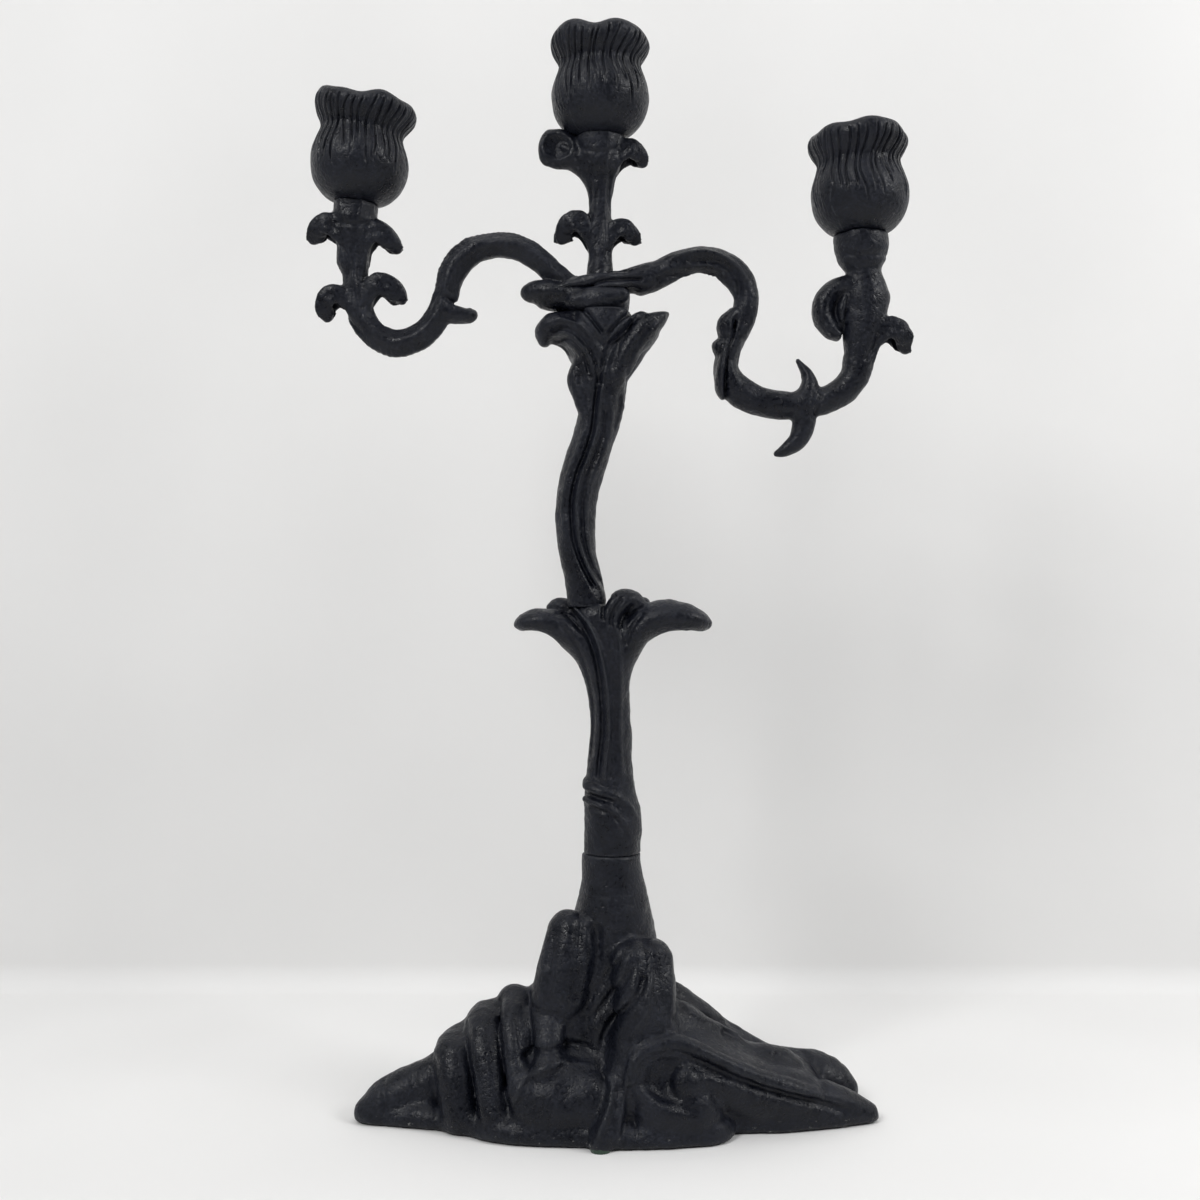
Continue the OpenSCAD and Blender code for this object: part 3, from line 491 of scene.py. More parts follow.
def sculpt_trunk():
    """The lower stem with its sheath and the collar of leaves."""
    c = Clay((-46, -24, TRUNK_FOOT - 2), (48, 26, 222), grain(settings().limb_grain))
    c.limb([(0.8, 0, BASE_TOP - 4, 11.6, 11.6), (1, 0, 114, 11.7, 11.6), (1.3, 0, 122, 11.8, 11.7),
            (0.2, 0, 133, 10.6, 10.6), (0, 0, 145, 9.1, 9.4), (0.4, 0, 157, 8.5, 8.8),
            (-0.2, 0, 171, 8.4, 8.8), (-1.5, 0, 184, 9.8, 9.6), (-3, 0, 196, 12, 10.5),
            (-4, 0, 204, 13, 11)], 2)
    c.trim((0, 0, 211), (0, 0, 1), 3)
    # The two great leaves, hollow underneath.
    c.limb([(-2, -1, 174, 5, 7), (-6, -1, 186, 6, 8), (-13, -1, 195.6, 6.4, 9), (-20.5, -1, 201.4, 6.4, 10),
            (-28.5, -1, 203.8, 5.2, 10), (-34.5, -1, 203.2, 3.8, 8), (-37.2, -1, 202.4, 2, 4.5)], 2)
    c.limb([(1, -1, 176, 5.4, 7), (5, -1, 189, 6, 8.5), (11, -1, 200, 6.8, 10), (20, -1, 205, 7.3, 11),
            (28.5, -1, 205.4, 6.5, 11), (35.5, -1, 204, 4.7, 9), (39.4, -1, 202.8, 2.4, 5)], 2)
    c.ball((28, 0, 195.4), (11, 7.5, 7), 1.5, cut=True)
    c.ball((-28.5, 0, 195.4), (8, 7, 7), 1.5, cut=True)
    # Small leaves between them: back left, beside the stem, and at the back.
    c.limb([(-8, 6, 202, 4.5, 6), (-15, 7, 207.6, 4.4, 6), (-21, 7, 209.6, 3.6, 5),
            (-24.4, 7, 209.4, 1.8, 3)], 1)
    c.limb([(-1, -4, 202, 4.5, 6), (2.4, -4, 209.4, 5.6, 7), (7.6, -3, 212, 5, 7), (12, -2, 210.6, 3, 5)], 1)
    c.limb([(4, 7, 202, 5, 5), (8, 8, 209, 5, 5), (14, 8, 210.5, 3, 4)], 1)
    c.score([(-3, 203), (-2.4, 210), (0.6, 215)], 0.9, 1.4)
    c.score([(0, 201), (1.4, 208), (5.6, 213.6)], 0.9, 1.4)
    c.score([(3.4, 200), (5.6, 206.4), (10.6, 211.4)], 0.9, 1.3)
    c.score([(-23, 207), (-17, 205.4), (-11, 199)], 0.9, 1.1)
    c.score([(14, 208), (9, 201), (6, 193)], 1.0, 1.0)
    # The sinuous ridge, its groove, and the edge of the right-hand facet.
    ridge = [(-16, 211), (-9, 203), (-4, 192), (-1, 176), (-0.3, 160), (-1.5, 148), (-2.3, 139)]
    c.score(ridge, 0.8, -1.4)
    c.score([(x - 2.6, z) for x, z in ridge], 1.1, 1.7)
    c.score([(x + 2.2, z) for x, z in ridge[1:]], 0.8, 0.5)
    c.score([(2, 204), (4, 194), (4.5, 180), (4.2, 165), (4.4, 150), (5, 141)], 0.9, -1.0)
    c.score([(-21, 203), (-14, 195), (-9.5, 184), (-7, 172), (-6.5, 160), (-7.5, 148)], 0.8, 0.8)
    # The wrinkled sheath low on the trunk.
    c.limb([(-9.2, -1, 138, 2.1, 2.1), (-8.8, -5, 136.8, 2.2, 2.2), (-5, -8.8, 135.2, 2, 2),
            (0, -9.8, 133.8, 1.8, 1.8), (4.6, -9, 131.6, 1.7, 1.7), (8.4, -6.8, 127, 1.6, 1.6),
            (10.6, -3.4, 119.6, 1.4, 1.4)], 0.9)
    c.limb([(-9.8, -4, 131.4, 1.6, 1.6), (-5, -9.2, 130, 1.6, 1.6), (0, -10.6, 127.8, 1.5, 1.5),
            (5, -9.8, 123, 1.4, 1.4), (8.4, -7.8, 116, 1.2, 1.2)], 0.9)
    c.score([(-11, 134), (-4, 132.4), (2, 130.6)], 0.8, 1.0)
    c.score([(-9, 128.5), (-2, 127), (3, 124), (6, 118)], 0.9, 0.6)
    for x0, x1 in ((-5, -3), (5, 7)):
        c.score([(x0, 206), (x0, 186), (x1, 160), (x1, 140)], 1.2, 1.1, front=False)
    c.score([(-10, 136), (0, 133), (10, 137)], 1.0, -1.1, front=False)
    c.unevenness(5, 0.3, 11)
    c.unevenness(2.2, 0.14, 12)
    # Room for the upper stem where it rises out of the collar.
    c.limb([(-9.7, 0, 218, 8.4, 8.8), (-12.2, 0, 227, 8, 8.4)], 0.3, cut=True)
    c.trim((0, 0, BASE_TOP), (0, 0, -1), 0.15)
    c.puck((0, 0, (TRUNK_FOOT + BASE_TOP) / 2 + 0.5), TRUNK_PLUG_R,
           (BASE_TOP - TRUNK_FOOT) / 2 + 0.5, 0.1, 0.3)
    c.bore(ROD.x, 0, TRUNK_FOOT - 2, 222, ROD_HOLE_R)
    c.bore(ROD.x, 0, SPIGOT_FOOT, 222, STEM_PLUG_HOLE_R)
    return c.cast("trunk_casting", "trunk")


def sculpt_upper_stem():
    """The bent stem with its grooves, up to the calyx under the hub."""
    c = Clay((-40, -22, SPIGOT_FOOT - 2), (32, 22, HUB_SEAT + 6), grain(settings().limb_grain))
    c.limb([(-9.4, 0, 207, 8.2, 8.6), (-10, 0, 217, 7.9, 8.3), (-12.7, 0, 229, 7.5, 8),
            (-14, 0, 241, 8.1, 8.2), (-13.7, 0, 252, 8.3, 8.4), (-11, 0, 265, 8.7, 8.6),
            (-7.2, 0, 277, 8.6, 8.8), (-3.7, 0, 289, 9.2, 9.2), (-3.6, 0, 299, 10.5, 10.2),
            (-3.5, 0, 309, 11.5, 11.5), (-3.5, 0, 320, 12.5, 12), (-4, 0, 333, 13, 12)], 2)
    # The strand that wraps the left side and ends in a knob.
    c.limb([(-12, -2, 309, 3, 5), (-13.5, -2.5, 302, 4, 5), (-11, -3, 293, 3.5, 5), (-9, -3.5, 283, 3, 5),
            (-13, -3, 268, 3.5, 5), (-17, -2, 252, 4, 5)], 1.2)
    # Calyx leaves, left and right, and the bud between them.
    c.limb([(-3, -5, 303, 4, 6), (-8, -5, 313, 5, 7), (-14.6, -3, 320.6, 5.5, 8), (-21.6, -2, 324.2, 5.6, 9),
            (-25.8, -1, 322, 4.6, 8), (-26.8, 0, 318.8, 2.8, 6)], 1.6)
    c.limb([(-8, 5, 307, 5, 6), (-15, 4, 318, 5, 8), (-22, 2, 322, 4, 8)], 2)
    c.ball((11, -4, 322), (7, 7, 8.4), 1.2)
    c.limb([(0, -4, 296, 4, 5), (4.4, -6, 307, 4.8, 6), (9, -5.6, 316, 5.2, 7), (15.4, -3.6, 323, 4.8, 8),
            (20, -1, 327, 3, 6), (22.6, 0, 329.4, 1.6, 4)], 1.4)
    c.ball((-17, 0, 325), (9, 9, 6), 1.5)
    c.limb([(2, 5, 304, 5, 6), (9, 4, 314, 5, 7), (16, 2, 322, 4, 7)], 2)
    c.ball((-2.4, -8.4, 325), (11.4, 7, 10), 1)
    c.limb([(-3, 7, 312, 4, 4), (-3, 7, 324, 8, 5), (-3, 6, 334, 10, 6)], 2)
    # Lines that flow from the left leaf into the stem, and the double groove below.
    c.score([(-25, 321), (-18, 322), (-11, 317), (-6, 308), (-4.5, 299)], 1.1, 1.6)
    c.score([(-22, 326), (-14, 324), (-8, 319), (-3, 311)], 0.9, -1.0)
    c.score([(-24, 318), (-17, 318.5), (-11, 312), (-8, 303)], 0.9, 1.1)
    c.score([(12, 328), (6, 321), (0, 315), (-3, 307), (-4.5, 299)], 1.1, 1.6)
    c.score([(-14, 333), (-9, 327), (-2.4, 318.6)], 0.9, 2.0)
    c.score([(12, 331), (5, 325.4), (-1.6, 318.6)], 0.9, 1.9)
    c.score([(20, 327), (13, 319), (8, 310), (6, 300)], 1.2, 0.9)
    groove = [(-5, 300), (-6, 291), (-7, 282), (-10, 272), (-13.5, 263), (-15.5, 253), (-15.5, 245),
              (-14.5, 236), (-11, 226), (-6, 217)]
    c.score(groove, 0.9, 1.9)
    c.score([(x + 2.2, z) for x, z in groove], 0.8, -0.9)
    c.score([(x + 4.4, z - 1) for x, z in groove[1:]], 0.8, 1.1)
    c.score([(0, 296), (1, 286), (-1, 276), (-5, 266), (-8.5, 256), (-9.5, 244), (-8, 232), (-5, 222)],
            0.9, -0.6)
    c.score([(x - 3.6, z) for x, z in groove[2:8]], 0.9, -0.6)
    c.score([(4, 297), (3.5, 290), (1, 281)], 1, 1.0)
    c.score([(-4, 312), (-4, 292), (-8, 272), (-13, 250), (-12, 230)], 1.1, 1.5, front=False)
    c.score([(-9, 316), (-9, 296), (-12, 276), (-17, 252)], 1.0, 1.0, front=False)
    c.score([(20, 326), (10, 314), (2, 300)], 1.1, 1.2, front=False)
    c.score([(-24, 322), (-14, 312), (-6, 300)], 1.1, 1.2, front=False)
    c.unevenness(5, 0.3, 21)
    c.unevenness(2.2, 0.14, 22)
    c.trim((0, 0, HUB_SEAT), (0, 0, 1), 0.7)
    c.trim((0, 0, 209.5), (0, 0, -1), 0.5)
    half = (211 - SPIGOT_FOOT) / 2
    c.puck((ROD.x, 0, SPIGOT_FOOT + half), STEM_PLUG_R, half, 0.1, 0.3)
    c.bore(-HUB_X, 0, HUB_SEAT - 15, HUB_SEAT + 2, STUD_HOLE_R)
    c.bore(ROD.x, 0, SPIGOT_FOOT - 1, SPIGOT_FOOT + 16, ROD_HOLE_R)
    return c.cast("upper_stem_casting", "upper_stem")


def neck_on(c, name, seat, radii, blend=1.5):
    """A round neck below a cup's seat, from radii given down from the seat, cut off flush with it."""
    axis = np.array(SOCKETS[name]["axis"])
    rows = [tuple(seat + axis * dz) + (r, r) for dz, r in radii]
    c.limb(rows, blend)
    c.trim(tuple(seat), tuple(axis), 0.5)


def sculpt_left_arm():
    """The bevelled arm: hub eye, arch, dip, leaves and neck."""
    c = Clay((-130, -16, 302), (14, 16, 378), grain(settings().limb_grain))
    seat = cup_seat("left_socket")
    band = [(2, 335, 4.8), (-8, 337.5, 4.6), (-16, 341, 4.6), (-22, 345.5, 4.8), (-28, 351, 4.9),
            (-35, 355.6, 5), (-42, 357.6, 5), (-49, 357.6, 5.1), (-56, 355.6, 5.5), (-62, 350.6, 5.8),
            (-65.5, 344, 5.3), (-67.5, 336.5, 5.1), (-70.5, 328.5, 5.2), (-77, 321.2, 5.3),
            (-86, 317.6, 5.5), (-94.5, 320, 5.2), (-100.5, 326.5, 5.4), (-103.5, 335, 5.4),
            (-104.2, 344, 5.2), (-104.6, 353, 5.8), (-104.4, 361, 6.6)]
    c.limb([(x, 0, z, h, 6) for x, z, h in band], 1.2, band=4.4)
    # The eye round the hub stud, the bud's upper lip and the knob on its left.
    c.puck((-HUB_X, 0, 334), 12, 4.6, 2.5, 3)
    c.limb([(-14, -7, 333.4, 3.4, 4.4), (-4, -9, 334, 4, 4.6), (5, -8.4, 335.6, 3, 4)], 2)
    c.limb([(-8, -5, 336.5, 3.4, 4), (-18, -4, 337.5, 3.8, 5), (-27, -2, 338.4, 4.6, 5.8),
            (-31.6, 0, 338.4, 4.4, 5), (-33.4, 0, 338.6, 3.2, 4)], 1.6)
    c.limb([(-12, 0, 333, 3.5, 9), (-20, 0, 334, 3.6, 7), (-27, 0, 335, 3.4, 5)], 2)
    neck_rows = [(-24, 5.6), (-17, 6.2), (-12, 8), (-6, 8.9), (4, 9.2)]
    neck_on(c, "left_socket", seat, neck_rows, 2)
    leaf(c, [(-103, 350), (-106, 359), (-110.6, 366), (-116, 368.4), (-120.6, 365), (-121.4, 360)],
         2.2, 6.6, 4.5)
    leaf(c, [(-104, 349), (-101.5, 358), (-97, 364.8), (-92, 364), (-88.4, 359.5), (-87.4, 356)],
         2.2, 6.6, 4)
    leaf(c, [(-102, 330), (-99, 338.5), (-94.5, 343.8), (-89, 342), (-85.8, 338), (-85.4, 335.5)],
         2.2, 6.6, 4)
    leaf(c, [(-103.6, 328), (-107.6, 335.6), (-112.6, 339), (-117, 336.4), (-118, 331.6), (-115.6, 328)],
         2.2, 6.4, 3.6)
    # The leaf under the arch.
    c.limb([(-70, 0, 331, 3.4, 5), (-64, 0, 329.9, 4.4, 5.2), (-58, 0, 329.2, 3.4, 4.5),
            (-55.8, 0, 329.4, 1.8, 3)], 1.2)
    c.both([(-69.5, 336.6), (-63, 333.6), (-57, 331.7)], 0.9, 1.1)
    # Creases where the leaves leave the stalk.
    for line in ([(-108, 357), (-106.5, 350), (-106, 343)], [(-100, 357), (-102, 349), (-102.5, 342)],
                 [(-109, 333), (-106, 327), (-101, 321)], [(-99.5, 334), (-101, 327), (-97, 320.5)]):
        c.both(line, 0.8, 0.7)
    c.both([(-112, 366), (-104, 364.5), (-96, 366)], 0.9, 0.8)
    c.score([(-110, 374), (-107, 366)], 0.8, -0.6)
    c.score([(-100, 374), (-101, 366)], 0.8, -0.6)
    c.unevenness(5, 0.28, 31)
    c.unevenness(2.2, 0.14, 32)
    c.bore(-HUB_X, 0, 320, 345, STUD_HOLE_R)
    return c.cast("left_arm_casting", "left_arm")


def sculpt_right_arm():
    """The round arm: hub eye, arch, knobs, thorn, hook, leaves and neck."""
    c = Clay((-30, -17, 266), (130, 17, 366), grain(settings().limb_grain))
    seat = cup_seat("right_socket")
    c.puck((-HUB_X, 0, 340.6), 12, 4.2, 2, 3)
    c.limb([(-26, -2, 338, 1.2, 4), (-16, -3, 340.2, 3, 6.5), (-4, -2, 341.2, 4.6, 8),
            (8, 0, 342.8, 5.2, 7.5), (16, 0, 345, 5.2, 6)], 2)
    c.trim((-HUB_X, 0, 338.2), (0.1, 0, -1), 0.4)
    c.limb([(13, 0, 341.6, 4.2, 6.4), (18, 0, 343.6, 4.6, 6), (24, 0, 347, 4.6, 5.8)], 1.5)
    c.limb([(8, 0, 343, 4.8, 6), (20, 0, 346.4, 5.4, 5.8), (29, 0, 350, 5.8, 5.8),
            (39, 0, 351.3, 6.1, 5.8), (47, 0, 349, 6.2, 5.8), (53.2, 0, 343.6, 6, 5.8),
            (56, 0, 336, 5.2, 5.8), (54, 0, 326, 5, 5.8), (50, 0, 317, 5, 5.8), (47.8, 0, 308, 5.2, 6),
            (50.6, 0, 300.6, 6.1, 6.2), (57, 0, 295.6, 6.2, 6.2), (64, 0, 293.2, 6, 6),
            (72, 0, 292.2, 6, 6), (80, 0, 292.8, 5.7, 5.8), (88, 0, 294.2, 5.5, 5.8),
            (95.4, 0, 298, 5.8, 6), (100.4, 0, 304.6, 6, 6.4), (102.2, 0, 313, 6.8, 7),
            (103, 0, 322, 8.2, 8), (104.2, 0, 330, 9.4, 8.4), (104.8, 0, 336.6, 9.8, 8.4),
            (104.8, 0, 342, 7.8, 7.4), (104.4, 0, 347, 6.7, 6.8)],
           1.5)
    neck_on(c, "right_socket", seat, [(-19, 6.6), (-13, 6.8), (-8, 9.6), (-4.6, 11.2), (-1, 11), (4, 10.4)],
            1.5)
    # Thorn, hook and the two knobs with their flap.
    c.limb([(79, 0, 293, 5, 5.5), (81.5, 0, 300, 3.8, 4.6), (80.6, 0, 305.4, 2.4, 3.2),
            (77.2, 0, 310.4, 0.9, 1.4)], 2.2)
    c.limb([(79, 0, 291, 5, 5.5), (79.4, 0, 284.5, 4.8, 5), (77.4, 0, 278.4, 4, 4.4),
            (73, 0, 274.4, 3, 3.4), (68.4, 0, 272.4, 1.2, 1.6)], 1.8)
    c.limb([(50.5, -1.5, 329, 3, 5), (47.6, -2, 325, 3.8, 6), (47.6, -2, 321.4, 3.6, 6)], 1)
    c.limb([(48.6, -1, 318.5, 2.6, 5), (45.2, -1, 316, 3.4, 5.5), (46.4, -1, 312.6, 2.6, 5)], 0.9)
    c.limb([(50, -1, 322, 2.4, 5.5), (47.4, -2, 314, 2.6, 6), (45.6, -2, 306, 2.6, 6),
            (45.2, -1, 299, 2.2, 5.5), (46, 0, 295.6, 1.2, 4)], 0.9)
    # The ear-shaped leaf beside the neck, dished from both sides.
    ear = [(99, 341, 4), (92.5, 339.6, 4.4), (88, 334.6, 4.4), (87.4, 328.4, 4.2), (90.4, 323, 3.4),
           (93.4, 320.6, 2)]
    c.limb([(x, 0, z, h, 6.4) for x, z, h in ear], 1.6)
    c.limb([(96, 0, 339, 4, 3), (93.6, 0, 332, 4.6, 3), (95, 0, 324, 3.6, 3)], 0.8)
    for side in (-1, 1):
        c.ball((93.2, side * 6.6, 331.4), (3.4, 4.2, 6.4), 1, cut=True)
        c.limb([(96, side * 3, 336, 1.6, 2.4), (94.4, side * 3.6, 331, 1.8, 2.4),
                (94.6, side * 3, 327, 1.2, 2)], 0.8)
    leaf(c, [(104, 312), (108.5, 320.5), (113.6, 325.4), (118.6, 324.4), (121.6, 320), (121, 315)],
         2.3, 6.6, 4)
    # Hollows and ridges along the arm.
    c.both([(18, 342), (28, 345.6), (39, 346.8), (46, 344.4)], 1.2, 1.4)
    c.both([(24, 351.4), (34, 354), (43, 353.4), (51, 348.6), (56.4, 341)], 1.1, -1.0)
    c.both([(31, 349.4), (40, 350.4), (47.4, 347.6), (52.4, 341.6), (53, 334)], 1.3, 1.5)
    c.both([(51, 327), (50, 320), (47.8, 313), (47, 304), (47.4, 297)], 0.8, 1.4)
    c.both([(56, 321), (53, 314), (51.6, 308), (54.6, 301.6)], 1.4, 0.5)
    c.both([(50, 293.6), (58, 290.6), (66, 288.8)], 1.4, -0.5)
    c.both([(86, 296.8), (84.6, 291.4), (82.6, 287)], 0.8, 1.0)
    c.both([(72.6, 297.4), (77, 299.6), (79, 304)], 0.9, 0.6)
    c.both([(103, 309), (107, 315), (109.6, 321)], 0.9, 1.1)
    c.both([(96, 312), (95.4, 319), (96.6, 326)], 0.9, 0.8)
    c.both([(94, 353.4), (104, 351.6), (114, 354)], 1.2, 0.9)
    seam = [(-25, 336.5), (-10, 338.6), (-4, 340.4), (7, 342.4), (14, 342.6)]
    c.score(seam, 0.8, 1.6)
    c.score([(-14, 344), (-2, 345.4), (8, 346)], 0.8, 0.8)
    c.unevenness(5, 0.3, 41)
    c.unevenness(2.2, 0.14, 42)
    c.bore(-HUB_X, 0, 320, 360, STUD_HOLE_R)
    return c.cast("right_arm_casting", "right_arm")


def sculpt_centre_post():
    """The upright post with its dished leaf and three curled ones."""
    c = Clay((-36, -16, POST_SEAT - 4), (22, 16, 408), grain(settings().limb_grain * 0.9))
    seat = cup_seat("centre_socket")
    x0 = -HUB_X
    c.limb([(x0, 0, POST_SEAT, 5.6, 6), (x0, 0, 352, 4.9, 5.4), (x0, 0, 364, 4.6, 5),
            (x0, 0, 376, 4.7, 5), (x0, 0, 384, 5.4, 5.6)], 2)
    neck_on(c, "centre_socket", seat, [(-22, 5), (-16, 6.4), (-9, 8.8), (-3, 9.8), (4, 9.8)], 1.5)
    c.limb([(-5, 0, 381, 3.6, 5), (-9.4, 0, 388.6, 4.4, 4.8), (-14.6, 0, 394, 5.6, 5),
            (-20, 0, 397, 8, 5), (-24.8, 0, 397.8, 7.6, 4.6)], 1.6)
    for side in (-1, 1):
        c.ball((-21.6, side * 6, 397.6), (6.4, 4.4, 6.2), 0.9, cut=True)
        c.limb([(-10, side * 3.5, 390, 1.5, 1.5), (-15, side * 2.6, 395, 1.5, 1.5),
                (-19, side * 2, 397.6, 1.2, 1.2)], 1.2)
    leaf(c, [(-4, 380), (-1.5, 389), (3, 396.4), (8.6, 398.6), (13, 395.4), (13.6, 391.4)], 2.1, 6.2, 4)
    leaf(c, [(-4.5, 353), (-7, 362), (-10.6, 368), (-15.4, 369.4), (-19.6, 365.4), (-19.6, 360)],
         2.1, 5.8, 4)
    leaf(c, [(-4, 351), (-2, 359.4), (1.6, 365), (6, 366.2), (9.6, 362.6), (10, 359.4)], 2, 5.6, 3.6)
    c.score([(-2, 350), (-1.8, 366), (-1.6, 380), (-0.5, 392)], 0.8, -0.7)
    c.score([(-8, 348), (-7.6, 356), (-7.4, 376)], 0.7, 0.4)
    c.score([(-1, 356), (-2.4, 350)], 0.7, 0.8)
    c.both([(-9, 388), (-7.6, 381), (-7, 374)], 0.8, 0.8)
    c.both([(1, 388), (-0.6, 380), (-1, 372)], 0.8, 0.8)
    c.both([(-13, 396.6), (-5, 393.4), (4, 396)], 0.9, 0.6)
    c.unevenness(4.5, 0.28, 51)
    c.unevenness(2.2, 0.13, 52)
    c.trim((0, 0, POST_SEAT), (0, 0, -1), 0.5)
    c.bore(x0, 0, POST_SEAT - 2, POST_SEAT + 13, STUD_HOLE_R)
    return c.cast("centre_post_casting", "centre_post")


# ---- candle cups ----

def cup_height():
    """Height of a cup, in millimetres."""
    low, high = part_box("centre_cup")
    return (high.z - low.z) * 1000


def cup_seat(name):
    """The point of a cup's axis on its seat, in millimetres from the foot."""
    m = SOCKETS[name]
    middle_up = cup_height() - m["dims"]["length_mm"] / 2
    return (np.array(m["pos_m"]) - np.array(FOOT)) * 1000 - np.array(m["axis"]) * middle_up


# Heights as shares of the cup and radii in mm, from the seat over the bulb to the lip.
CUP_SIDE = [(0.0, 9.2), (0.03, 12.4), (0.08, 15.1), (0.16, 17.7), (0.26, 19.3), (0.37, 19.9), (0.47, 19.5),
            (0.56, 18.3), (0.63, 17.1), (0.68, 16.7), (0.73, 17.2), (0.79, 18.8), (0.85, 20.0), (0.90, 20.3),
            (0.945, 19.9), (0.98, 18.9)]


def sculpt_cup(name, node, mount, lobes, seed, tilt=0.0):
    """A tulip cup on its lathe line, with wavy grooves outside and a ruffled lip."""
    s = settings()
    m = SOCKETS[mount]
    h = cup_height()
    socket_r = m["dims"]["r_mm"]
    floor = h - m["dims"]["length_mm"]
    turns = 640
    side = smooth_line([(r, 0, share * h) for share, r in CUP_SIDE], 0.55)[:, [0, 2]]
    lip = [(17.6, 0.995 * h), (16.4, h), (15.2, 0.995 * h), (14, 0.975 * h),
           (12.4, 0.94 * h), (socket_r, 0.915 * h)]
    lip = smooth_line([(r, 0, z) for r, z in lip], 0.6)[:, [0, 2]]
    wall = np.array([(socket_r, z) for z in np.linspace(0.9 * h, floor + 0.3, 20)])
    inside = np.array([(socket_r - 0.3, floor), (8, floor), (5.2, floor), (5, floor - 0.3), (5, floor - 3.6),
                       (4.8, floor - 4), (2.4, floor - 4), (2.2, floor - 4.2), (2.2, 0.2), (2.4, 0)])
    under = np.array([(6, 0.0)])
    outline = np.vstack([under, side, lip, wall, inside])
    n_under, n_side, n_lip = len(under), len(side), len(lip)
    a = np.arange(turns) * (2 * math.pi / turns)
    r = np.repeat(outline[:, 0][:, None], turns, axis=1)
    z = np.repeat(outline[:, 1][:, None], turns, axis=1)
    share = np.clip(z / h, 0, 1)
    rng = np.random.default_rng(seed)
    # Ruffles: the lip waves in and out and up and down.
    wave = np.zeros(turns)
    for place, width, size in lobes:
        gap = (a - math.radians(place) + math.pi) % (2 * math.pi) - math.pi
        wave += size * np.exp(-(gap / math.radians(width)) ** 2)
    wave += 0.25 * np.cos(3 * a + seed) + 0.2 * np.cos(8 * a + 2 * seed)
    rows = np.arange(len(outline))[:, None]
    shell = (rows >= n_under) & (rows < n_under + n_side + n_lip)
    upper = soft_step((share - 0.72) / 0.26) * shell
    inner = (rows >= n_under + n_side) & (rows < n_under + n_side + n_lip)
    ease = np.where(inner, soft_step((r - socket_r - 0.4) / 3.5), 1.0)
    z = z + s.ruffle * wave[None, :] * upper * ease * 1.05
    z = z - tilt * r * np.cos(a)[None, :] * soft_step((share - 0.25) / 0.4) * shell * ease
    r = r + s.ruffle * wave[None, :] * upper * ease * 0.55
    r = r + 22 * tilt * np.cos(a)[None, :] * upper * ease
    # Grooves: each wanders by itself, starts under the lip and fades on the bulb.
    count = s.grooves
    cut = np.zeros_like(r)
    zs = outline[n_under:n_under + n_side, 1] / h
    sway = 0.055 * np.sin(2 * math.pi * (zs * 1.15 + 0.08)) + 0.03 * np.sin(2 * math.pi * zs * 2.1 + seed)
    for g in range(count):
        phase = rng.random(4)
        start = 0.16 + 0.3 * phase[0]
        stop = 0.93 + 0.03 * phase[1]
        centre = (2 * math.pi * (g + 0.35 * (phase[2] - 0.5)) / count + sway
                  + 0.035 * np.sin(2 * math.pi * (zs * (0.8 + phase[3]) + phase[0])))
        gap = (a[None, :] - centre[:, None] + math.pi) % (2 * math.pi) - math.pi
        gap = gap * outline[n_under:n_under + n_side, 0][:, None]
        strength = soft_step((zs - start) / 0.16) * soft_step((stop - zs) / 0.05)
        strength = strength * (0.65 + 0.35 * np.sin(2 * math.pi * (zs * 1.6 + phase[1])) ** 2)
        cut[n_under:n_under + n_side] += strength[:, None] * np.exp(-(gap / 0.44) ** 2)
        cut[n_under:n_under + n_side] -= 0.22 * strength[:, None] * np.exp(-((np.abs(gap) - 1.0) / 0.5) ** 2)
    r = r - s.groove_depth * np.clip(cut, -0.5, 1.15)
    soft = np.sin(5 * a[None, :] + 0.2 * z + seed) * np.sin(0.35 * z + 2 * a[None, :])
    r = r + 0.14 * soft * shell
    # Lean the cup onto its seat.
    axis = Vector(m["axis"]).normalized()
    turn = Vector((0, 0, 1)).rotation_difference(axis).to_matrix()
    local = np.stack([r * np.cos(a), r * np.sin(a), z + 0 * a], axis=-1).reshape(-1, 3)
    points = (local @ np.array(turn).T + cup_seat(mount)) / 1000 + np.array(FOOT)
    n = len(outline)
    i, j = np.meshgrid(np.arange(n), np.arange(turns), indexing="ij")
    k, l = (i + 1) % n, (j + 1) % turns
    quads = np.stack([i * turns + j, i * turns + l, k * turns + l, k * turns + j], axis=-1).reshape(-1, 4)
    return new_piece(name, points, quads, (node,))


# ---- finishes ----

def add(tree, kind, x, y, **inputs):
    """A node at x, y whose inputs are set by name."""
    node = tree.nodes.new(kind)
    node.location = (x, y)
    for key, value in inputs.items():
        node.inputs[key.replace("_", " ")].default_value = value
    return node


def start_material(name):
    """A new material with one shader joined to its output."""
    mat = bpy.data.materials.new(name)
    mat.use_nodes = True
    tree = mat.node_tree
    tree.nodes.clear()
    out = tree.nodes.new("ShaderNodeOutputMaterial")
    out.location = (900, 0)
    shader = tree.nodes.new("ShaderNodeBsdfPrincipled")
    shader.location = (600, 0)
    tree.links.new(shader.outputs[0], out.inputs[0])
    return mat, tree, shader


def ramp(tree, x, y, stops):
    """A colour band from stops of place and colour."""
    node = tree.nodes.new("ShaderNodeValToRGB")
    node.location = (x, y)
    band = node.color_ramp
    while len(band.elements) < len(stops):
        band.elements.new(0.5)
    for element, (place, colour) in zip(band.elements, stops):
        element.position = place
        element.color = colour if len(colour) == 4 else tuple(colour) + (1,)
    return node


def mix(tree, x, y, kind="MIX"):
    """A node that mixes two colours."""
    node = tree.nodes.new("ShaderNodeMix")
    node.data_type = "RGBA"
    node.blend_type = kind
    node.location = (x, y)
    return node


